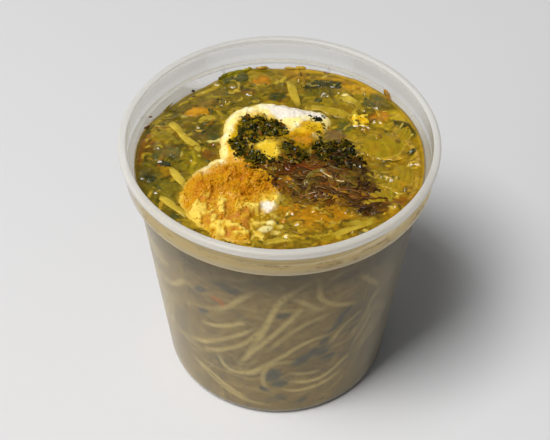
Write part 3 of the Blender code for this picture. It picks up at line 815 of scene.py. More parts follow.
class Painter:
    """Colour and relief of a surface, from what lies in the broth below it."""

    def __init__(self, x, y, colour, span=None):
        self.x, self.y = x.ravel(), y.ravel()
        self.col = np.array(colour, float).reshape(-1, 3).copy()
        self.h = np.zeros(self.x.shape)
        self.span = span

    def near(self, lo, hi):
        return np.nonzero((self.x > lo[0]) & (self.x < hi[0]) & (self.y > lo[1]) & (self.y < hi[1]))[0]

    def strand(self, points, r, colour, depth=0.0, lam=0.9, bump=0.0, dive=1.2, shade=0.08, flat=1.0, seed=0,
               blur=(1.06, 0.72)):
        path = spline(points, max(0.8, r))
        shifts = [0.0] if self.span is None else [-self.span, 0.0, self.span]
        for shift in shifts:
            q = path + np.array([shift, 0.0])
            lo, hi = q.min(0) - r - 1.2, q.max(0) + r + 1.2
            idx = self.near(lo, hi)
            if not len(idx):
                continue
            x, y = self.x[idx], self.y[idx]
            d, t = path_distance(q, x, y)
            d = d * (1.0 + 0.10 * vnoise(x / 3.0, y / 3.0, seed, 5))
            sec = flat * (r - np.sqrt(np.clip(r * r - d * d, 0, None)))
            ends = np.maximum(0.0, 1.0 - np.minimum(t, 1 - t) / 0.22) ** 2 * dive
            wob = 0.5 * lam * (0.5 + 0.5 * vnoise(x / 6.0, y / 6.0, 3.1 + seed, 7))
            dp = depth + sec + ends + wob
            vis = np.exp(-dp / lam) * smooth(r * blur[0], r * blur[1], d)
            # a painted shadow: the ring just outside the strand's edge is darkened
            rim = smooth(r * 0.8, r * 1.15, d) * smooth(r * 1.15 + 1.0, r * 1.15, d) * np.exp(-(depth + ends) / lam)
            self.col[idx] *= (1.0 - shade * rim)[:, None]
            self.col[idx] = mix3(self.col[idx], colour, vis)
            self.h[idx] = np.maximum(self.h[idx], bump * vis * np.sqrt(np.clip(1 - (d / r) ** 2, 0, 1)))

    def patch(self, cx, cy, a, b, ang, colour, amount=1.0, ragged=0.4, grain=2.0, bump=0.0, soft=0.25, seed=0):
        m = max(a, b) * 1.5 + 1
        shifts = [0.0] if self.span is None else [-self.span, 0.0, self.span]
        for shift in shifts:
            idx = self.near((cx + shift - m, cy - m), (cx + shift + m, cy + m))
            if not len(idx):
                continue
            x, y = self.x[idx] - cx - shift, self.y[idx] - cy
            c, s = math.cos(math.radians(ang)), math.sin(math.radians(ang))
            u, v = x * c + y * s, -x * s + y * c
            rho = np.hypot(u / a, v / b)
            rho = rho + ragged * fbm(x / grain, y / grain, seed * 3.7, 3, seed)
            vis = amount * smooth(1.0 + soft, 1.0 - soft, rho)
            self.col[idx] = mix3(self.col[idx], colour, vis)
            self.h[idx] += bump * vis

    def sheet(self, cx, cy, a, b, ang, colour, amount=0.6, rim=0.3, lines=0.10, bump=0.25, soft=0.10, seed=0):
        """A thin slice of soft onion just under the surface: smooth outline,
        growth lines round a point off to one side, a paler rim that is partly a
        painted highlight, and a painted shadow just outside the outline on one side."""
        m = max(a, b) * 1.4 + 1
        idx = self.near((cx - m, cy - m), (cx + m, cy + m))
        if not len(idx):
            return
        x, y = self.x[idx] - cx, self.y[idx] - cy
        c, s = math.cos(math.radians(ang)), math.sin(math.radians(ang))
        u, v = x * c + y * s, -x * s + y * c
        th = np.arctan2(v / b, u / a)
        rho = np.hypot(u / a, v / b) * (1 + 0.28 * fbm(np.cos(th) * 1.2 + seed, np.sin(th) * 1.2, seed * 1.7, 3, seed))
        rho = rho + 0.10 * fbm(x / 1.6, y / 1.6, seed, 2, seed + 3)
        inside = smooth(1 + soft, 1 - soft, rho)
        q = np.hypot(u / a + 1.1, 0.7 * v / b) * 11.0 + 2.5 * fbm(x / 5, y / 5, seed, 2, seed + 1)
        tint = np.asarray(colour)[None, :] * (1 + lines * np.sin(q))[:, None]
        self.col[idx] = mix3(self.col[idx], tint, inside * amount)
        # the paler rim: the onion's clearer edge, with a painted highlight along part of it
        edge = np.exp(-((rho - 0.92) / 0.07) ** 2) * (0.6 + 0.4 * np.sin(th + seed))
        self.col[idx] = mix3(self.col[idx], np.asarray(colour) * 1.35 + 0.02, np.clip(edge, 0, 1) * rim * amount)
        # a painted shadow just outside the outline, on one side
        out = smooth(1.0, 1.08, rho) * smooth(1.30, 1.08, rho) * (0.5 + 0.5 * np.sin(th + seed + 2.0))
        self.col[idx] *= (1 - 0.35 * amount * out)[:, None]
        self.h[idx] = np.maximum(self.h[idx], bump * inside * (0.45 + 0.55 * np.clip(1 - rho ** 2, 0, 1))
                                 + 0.3 * bump * np.clip(edge, 0, 1))

    def area(self, poly, colour, amount=1.0, soft=0.8, wob=0.8, grain=2.0, bump=0.0, seed=0):
        """A soft-edged patch of any outline."""
        P = np.asarray(poly, float)
        lo, hi = P.min(0) - soft - wob - 1, P.max(0) + soft + wob + 1
        idx = self.near(lo, hi)
        if not len(idx):
            return
        x, y = self.x[idx], self.y[idx]
        d = polygon_depth(P, x, y) + wob * fbm(x / grain, y / grain, seed * 1.3, 3, seed)
        vis = amount * smooth(-soft, soft, d)
        self.col[idx] = mix3(self.col[idx], colour, vis)
        self.h[idx] += bump * vis

    def ridge(self, cx, cy, length, ang=0.0, front=1.3, tail=3.0, height=0.58, seed=0):
        """A swell of the liquid over something that lies under it: steep in
        front, falling slowly behind. Its front catches the light."""
        m = length / 2 + tail + 1.5
        idx = self.near((cx - m, cy - m), (cx + m, cy + m))
        if not len(idx):
            return
        x, y = self.x[idx] - cx, self.y[idx] - cy
        c, s = math.cos(math.radians(ang)), math.sin(math.radians(ang))
        u, v = x * c + y * s, -x * s + y * c
        v = v + 0.22 * (u / max(length, 1.0)) ** 2 * length + 0.12 * vnoise(u / 1.5, seed, 0, 5)
        prof = smooth(-front / 2, front / 2, v) * (1 - smooth(front / 2, front / 2 + tail, v))
        self.h[idx] += height * prof * smooth(length / 2 + 0.9, length / 2 - 0.3, np.abs(u))


# --------------------------------------------------------------------------
# What is seen through the wall: angle from the front towards +x in degrees,
# height over the table in millimetres
# --------------------------------------------------------------------------
SIDE_STRANDS = [
    [(15.2, 87.7), (6.3, 82.4), (1.5, 76.7), (-2.1, 68.2), (-5.0, 59.0), (-10.0, 47.5), (-15.3, 36.1)],
    [(-9.1, 81.5), (-15.0, 75.6), (-20.1, 69.4), (-26.9, 64.4)],
    [(-9.0, 89.8), (-14.5, 87.2), (-20.3, 86.2)],
    [(-34.4, 52.2), (-31.7, 52.6), (-25.4, 54.6), (-17.4, 59.1), (-12.6, 61.9)],
    [(-42.8, 35.1), (-33.3, 39.9), (-23.2, 47.5), (-14.4, 54.3), (-8.8, 59.3)],
    [(-35.8, 34.2), (-26.9, 38.2), (-16.5, 45.6), (-9.8, 53.3), (-5.0, 62.2)],
    [(-17.2, 33.1), (-10.1, 43.7), (-5.1, 50.5), (-0.4, 56.8), (5.4, 65.0), (9.3, 70.1)],
    [(-3.5, 44.7), (1.9, 52.1), (7.2, 57.7), (13.8, 62.2), (20.7, 64.5)],
    [(-17.5, 26.6), (-10.5, 30.2), (-3.5, 36.3), (2.9, 41.3), (9.1, 46.8), (15.2, 50.1), (21.9, 51.3)],
    [(-28.1, 34.2), (-24.8, 28.3), (-19.4, 26.6), (-12.2, 27.7), (-6.2, 32.0)],
    [(-45.4, 22.3), (-37.6, 18.0), (-30.3, 13.9), (-22.4, 10.2), (-12.9, 7.2), (-3.6, 6.5)],
    [(-40.6, 21.2), (-32.0, 17.9), (-24.3, 13.6), (-14.8, 9.4)],
    [(6.8, 23.4), (14.7, 21.8), (22.9, 22.7), (30.0, 26.8), (35.7, 31.0)],
    [(3.5, 17.9), (10.5, 16.3), (18.7, 17.3), (26.3, 18.8), (32.9, 22.6)],
    [(7.4, 29.1), (13.4, 27.9), (20.6, 27.7)],
    [(7.9, 37.4), (-0.3, 36.5), (-5.2, 31.2), (-6.3, 23.2), (-2.9, 17.0)],
    [(16.3, 89.1), (16.8, 80.2), (18.2, 75.3), (24.2, 69.9), (34.0, 65.6)],
    [(6.5, 78.0), (10.8, 74.9), (17.2, 69.6)],
    [(40.2, 58.1), (33.8, 55.6), (28.8, 51.7), (24.2, 44.4)],
    [(25.3, 88.6), (20.3, 85.4)],
    [(34.1, 82.7), (42.4, 73.1), (47.2, 66.5)],
]
SIDE_RM = 48.6                        # mean inner radius, to turn angles into lengths


def side_uv(points):
    return [(math.radians(p) * SIDE_RM, z) for p, z in points]


def make_broth_side():
    rows, cols = 158, 524
    rng = np.random.default_rng(7)
    zs = np.linspace(1.0, LEVEL, rows)
    phi = np.linspace(-math.pi, math.pi, cols, endpoint=False)
    Z, P = np.meshgrid(zs, phi, indexing="ij")
    U = P * SIDE_RM
    n1 = fbm(U / 14, Z / 10, 0, 4, 11)
    n2 = fbm(U / 5.0, Z / 4.2, 4.0, 4, 23)
    n3 = fbm(U / 2.0, Z / 1.7, 9.0, 3, 31)
    base = np.zeros(U.shape + (3,)) + lin(152, 126, 66)
    base = mix3(base, lin(124, 104, 58), smooth(0.0, 0.5, n1) * 0.7)
    base = mix3(base, lin(176, 150, 84), smooth(0.05, 0.55, n2) * 0.55)
    base = mix3(base, lin(116, 102, 62), smooth(0.22, 0.5, n3) * 0.3)
    pen = Painter(U, Z, base, span=2 * math.pi * SIDE_RM)
    noodle = lin(214, 190, 116)
    pale = lin(226, 204, 136)
    leaf = lin(88, 84, 62)
    # deep, blurred strands everywhere
    for i in range(150):
        u0, z0 = rng.uniform(-math.pi, math.pi) * SIDE_RM, rng.uniform(5, 92)
        ang, bend, ln = rng.normal(0.55, 0.6), rng.normal(0, 0.035), rng.uniform(14, 40)
        t = np.linspace(-0.5, 0.5, 6) * ln
        pts = np.stack([u0 + t * math.cos(ang) - bend * t * t * math.sin(ang),
                        z0 + t * math.sin(ang) + bend * t * t * math.cos(ang)], 1)
        pts[:, 1] = np.clip(pts[:, 1], 3, 95)
        pen.strand(pts, rng.uniform(1.2, 1.7), noodle * rng.uniform(0.8, 1.0), depth=rng.uniform(0.7, 1.5), lam=0.9,
                   seed=i, shade=0.03, blur=(1.35, 0.3))
    # leaves behind the strands
    for i in range(150):
        u0, z0 = rng.uniform(-math.pi, math.pi) * SIDE_RM, rng.uniform(4, 94)
        pen.patch(u0, z0, rng.uniform(1.2, 4.5), rng.uniform(0.8, 2.0), rng.uniform(-30, 80), leaf * rng.uniform(0.9, 1.5),
                  amount=rng.uniform(0.2, 0.6), ragged=0.6, grain=2.2, soft=0.5, seed=i)
    # bundles of noodles lying along the wall, away from the front
    for i in range(34):
        p0 = rng.uniform(48, 312)
        u0, z0 = math.radians(p0 if p0 < 180 else p0 - 360) * SIDE_RM, rng.uniform(8, 90)
        ang, bend, ln = rng.normal(0.5, 0.55), rng.normal(0, 0.022), rng.uniform(24, 50)
        for k in range(rng.integers(1, 5)):
            off = k * rng.uniform(2.6, 4.6)
            t = np.linspace(-0.5, 0.5, 7) * ln * rng.uniform(0.7, 1.1) + rng.uniform(-5, 5)
            wig = rng.normal(0, 0.5, 7)
            px = u0 + t * math.cos(ang) - (bend * t * t + off + wig) * math.sin(ang)
            pz = z0 + t * math.sin(ang) + (bend * t * t + off + wig) * math.cos(ang)
            pz = 4 + 89 * smooth(-14, 112, pz) if rng.random() < 0.2 else np.clip(pz, 4, 94)
            pen.strand(np.stack([px, pz], 1), rng.uniform(1.25, 1.7), mix3(noodle, pale, rng.uniform(0, 1)),
                       depth=rng.uniform(0.0, 0.5), lam=0.95, bump=0.22, seed=i * 7 + k, shade=0.06, blur=(1.2, 0.45))
    # the front, as photographed
    leaves = [(-21.5, 81.0, 3.6, 2.0, -20), (-17.5, 79.5, 2.4, 1.6, 10), (-26.6, 30.2, 3.2, 1.7, -40), (-23, 28, 2.6, 1.2, -30),
              (-1.0, 27.3, 3.8, 4.6, 15), (1.5, 22.0, 3.0, 2.4, 0), (-5.4, 18.2, 2.6, 1.6, -30), (16.7, 41.6, 6.8, 2.0, 28),
              (11.0, 37.0, 3.8, 1.9, 35), (22.0, 40.0, 3.0, 1.6, 20), (26.0, 55.1, 4.6, 1.3, 50), (29.5, 61.5, 4.2, 1.3, 48),
              (21.5, 47.5, 3.0, 1.2, 52), (24.0, 36.0, 2.8, 1.4, 10), (-33.0, 73.0, 3.0, 1.4, 30), (-38.0, 88.0, 4.5, 1.5, 5),
              (30.0, 84.5, 3.4, 1.5, 10), (8.0, 90.5, 4.0, 1.4, 0), (2.5, 68.0, 2.2, 1.2, 30), (-33.0, 60.0, 2.6, 1.2, 40)]
    for i, (p, z, a, b, ang) in enumerate(leaves):
        pen.patch(math.radians(p) * SIDE_RM, z, a, b, ang, lin(92, 90, 74), amount=0.9, ragged=0.55, grain=2.4,
                  soft=0.5, seed=100 + i)
    pen.patch(math.radians(-25.3) * SIDE_RM, 71.3, 2.7, 1.7, -10, lin(190, 120, 42), amount=0.85, soft=0.4, seed=5)
    pen.patch(math.radians(-22.8) * SIDE_RM, 68.6, 1.2, 1.0, 0, lin(196, 110, 30), amount=0.8, soft=0.4, seed=6)
    for i, pts in enumerate(SIDE_STRANDS):
        faint = {2: 0.7, 1: 0.25, 7: 0.3, 14: 0.35, 17: 0.35, 19: 0.3, 18: 0.3, 15: 0.3}.get(i, 0.0)
        pen.strand(side_uv(pts), 1.45 if i not in (0, 1, 9, 10) else 1.6, mix3(noodle, pale, 0.4 + 0.3 * math.sin(i * 2.3)),
                   depth=faint, lam=1.0, bump=0.22, dive=1.0, seed=300 + i, shade=0.06, blur=(1.2, 0.45))
    # the band under the skirt: darkened upwards from 74 mm as a painted shadow of the lip and skirt, oily and golden at
    # the very top, with brown scraps
    top = smooth(84.0, 95.0, pen.y)
    gold = fbm(pen.x / 6, pen.y / 3, 2.0, 3, 77)
    pen.col = mix3(pen.col, lin(96, 78, 36), smooth(74, 86, pen.y) * 0.72)
    # painted shade: the right flank, turned away from the light, is darker from 22° round to 130°
    turn = np.degrees(pen.x / SIDE_RM)
    pen.col = pen.col * (1 - 0.34 * smooth(22.0, 50.0, turn) * smooth(130.0, 100.0, turn))[:, None]
    pen.col = pen.col * (1 + 0.10 * smooth(44.0, 20.0, pen.y))[:, None]
    # painted shade: a dark olive band down the right flank, from 48° to 104°
    pen.col = mix3(pen.col, lin(62, 54, 18), 0.6 * smooth(48.0, 70.0, turn) * smooth(104.0, 84.0, turn))
    pen.col = mix3(pen.col, lin(200, 162, 74), smooth(92.0, 96.0, pen.y) * smooth(-0.25, 0.35, gold) * 0.8)
    pen.col = mix3(pen.col, lin(218, 194, 122), smooth(93, 96, pen.y) * smooth(0.1, 0.5, -gold) * 0.8)
    for i in range(70):
        u0, z0 = rng.uniform(-math.pi, math.pi) * SIDE_RM, rng.uniform(90.5, 96)
        pen.patch(u0, z0, rng.uniform(0.8, 4.0), rng.uniform(0.4, 1.2), rng.uniform(-15, 15), lin(120, 76, 24),
                  amount=rng.uniform(0.3, 0.9), ragged=0.6, grain=1.5, soft=0.3, seed=500 + i)
    # fine specks of herb in the broth
    speck = vnoise(pen.x / 0.9, pen.y / 0.9, 1.7, 91)
    pen.col = mix3(pen.col, lin(70, 64, 40), smooth(0.62, 0.85, speck) * 0.5)
    inset = 0.34 - pen.h.reshape(U.shape) + 0.10 * fbm(U / 3.2, Z / 3.2, 6.0, 3, 41)
    # the top rows follow the soup's uneven edge
    rim = wall_r(LEVEL) - 0.5
    crest = surface_z(rim * np.sin(phi), -rim * np.cos(phi)) - LEVEL
    Z = Z + crest[None, :] * smooth(78.0, LEVEL, Z)
    R = wall_r(Z) - inset
    low = Z < 3.6
    # follow the rounded corner of the tub at the foot
    corner = 3.4 - np.sqrt(np.clip(3.4 ** 2 - (3.4 - np.clip(Z, 0, 3.4)) ** 2, 0, None))
    R = np.where(low, R - corner, R)
    v = np.stack([R * np.sin(P), -R * np.cos(P), Z], -1).reshape(-1, 3)
    faces = grid_faces(rows, cols, wrap=True)
    n = len(v)
    v = np.vstack([v, (0, 0, 1.0)])
    j = np.arange(cols)
    floor_fan = np.stack([np.full(cols, n), (j + 1) % cols, j], 1)
    col = np.vstack([pen.col, lin(120, 104, 66)])
    mat = food_material("broth_side", rough=0.42, coat=0.0, fine=1500.0, fine_amount=0.10, broad=420.0, broad_amount=0.10)
    obj = mesh_object("broth_side", v, [faces[:, ::-1], floor_fan], mat, col)
    ride(obj, ("soup",))


# --------------------------------------------------------------------------
# The surface of the soup
# --------------------------------------------------------------------------
TOP_STRANDS = {                       # noodles that break the surface: path, half width
    "left_long": ([(-44.4, 21.6), (-42.2, 21.4), (-38.8, 17.2), (-35.1, 11.4), (-31.3, 7.5), (-28.4, 3.6)], 1.35),
    "left_short": ([(-32.0, 20.2), (-29.0, 23.1), (-25.9, 23.9), (-22.1, 24.0)], 1.1),
    "left_low": ([(-40.8, -3.6), (-39.6, -5.2), (-37.2, -8.8), (-34.8, -12.1), (-32.4, -14.7)], 1.35),
    "front_left": ([(-44.2, -18.0), (-38.9, -22.7), (-35.1, -26.2), (-31.0, -29.6)], 1.3),
    "arch": ([(-0.2, 41.5), (0.5, 45.8), (2.6, 48.6), (5.0, 49.0)], 0.8),
    "back_mid": ([(3.6, 46.7), (4.2, 43.4), (5.4, 37.4), (7.0, 30.8)], 1.5),
    "back_wide": ([(9.0, 30.9), (14.9, 30.4), (20.3, 27.6), (28.0, 23.8)], 1.8),
    "back_right": ([(22.7, 37.2), (26.7, 34.3), (30.6, 31.9)], 1.4),
    "front_a": ([(16.0, -38.3), (23.4, -35.3), (30.9, -31.2), (37.1, -26.9)], 1.3),
    "front_b": ([(20.2, -31.9), (26.0, -31.3), (32.1, -28.2)], 1.1),
    "front_c": ([(-7.3, -42.2), (-0.6, -40.0), (6.2, -39.8)], 1.3),
    "front_d": ([(-8.5, -35.9), (-3.6, -35.4), (0.6, -35.7)], 1.0),
}
TOP_R_IN = wall_r(LEVEL) - 0.30


def surface_z(x, y):
    """The broth's surface with its small relief and its edge at the wall."""
    x, y = np.asarray(x, float), np.asarray(y, float)
    r = np.hypot(x, y)
    lift = edge_lift(x, y)
    z = soup_z(x, y) + 0.24 * fbm(x / 4.2, y / 4.2, 0.0, 3, 61) + 0.10 * fbm(x / 1.7, y / 1.7, 3.0, 2, 63)
    a = np.arctan2(y, x)
    climb = 0.12 + 0.35 * np.maximum(0, fbm(np.cos(a) * 4, np.sin(a) * 4, 0, 3, 67))
    away = np.clip(wall_r(LEVEL + lift) - 0.3 - r, 0, None)
    return z + lift * np.exp(-away / 6.0) + climb * np.exp(-away / 0.9)


SHINE = [                             # places where the wet surface catches the light: x, y, length
    (-24.9, 43.3, 1.2), (-19.7, 41.3, 3.0), (-12.2, 36.9, 1.6), (-20.2, 32.2, 1.0), (8.2, 45.6, 1.6), (17.2, 39.4, 2.0),
    (17.5, 36.7, 2.2), (23.8, 37.9, 2.2), (37.0, 21.2, 2.4), (29.8, 17.6, 4.0), (30.3, 3.0, 2.5), (49.3, -2.1, 3.0),
    (43.9, 9.4, 1.0), (4.3, -27.2, 1.6), (7.4, -32.9, 1.6), (11.9, -27.1, 1.8), (16.3, -29.6, 1.4), (-44.0, -1.8, 1.2),
    (-31.0, 17.9, 0.8), (37.9, -8.5, 2.2), (42.0, -9.9, 2.8), (46.3, -14.6, 1.2), (41.1, -23.7, 1.4), (25.2, -25.9, 1.8),
    (33.9, -26.8, 1.0), (36.9, 12.4, 0.7), (-49.4, -11.0, 0.8)]


def hidden_by_food(x, y):
    """True where the cream or the dark onion covers the broth."""
    x, y = np.asarray(x, float), np.asarray(y, float)
    return bool(kashk_height(x, y) > 0.3) or bool(share(ONION_CENTRE, ONION_RADII, x, y) < 0.9)


def open_spot(rng, reach=50.5):
    for _ in range(60):
        a, q = rng.uniform(0, 2 * math.pi), reach * math.sqrt(rng.random())
        x0, y0 = q * math.cos(a), q * math.sin(a)
        if not hidden_by_food(x0, y0):
            break
    return x0, y0


def bent_path(x0, y0, ang, bend, ln, reach=50.5, wig=0.0, rng=None):
    t = np.linspace(-0.5, 0.5, 6) * ln
    off = bend * t * t + (rng.normal(0, wig, 6) if wig else 0.0)
    pts = np.stack([x0 + t * math.cos(ang) - off * math.sin(ang), y0 + t * math.sin(ang) + off * math.cos(ang)], 1)
    k = np.hypot(pts[:, 0], pts[:, 1])
    return pts * np.minimum(1.0, reach / np.maximum(k, 1e-6))[:, None]


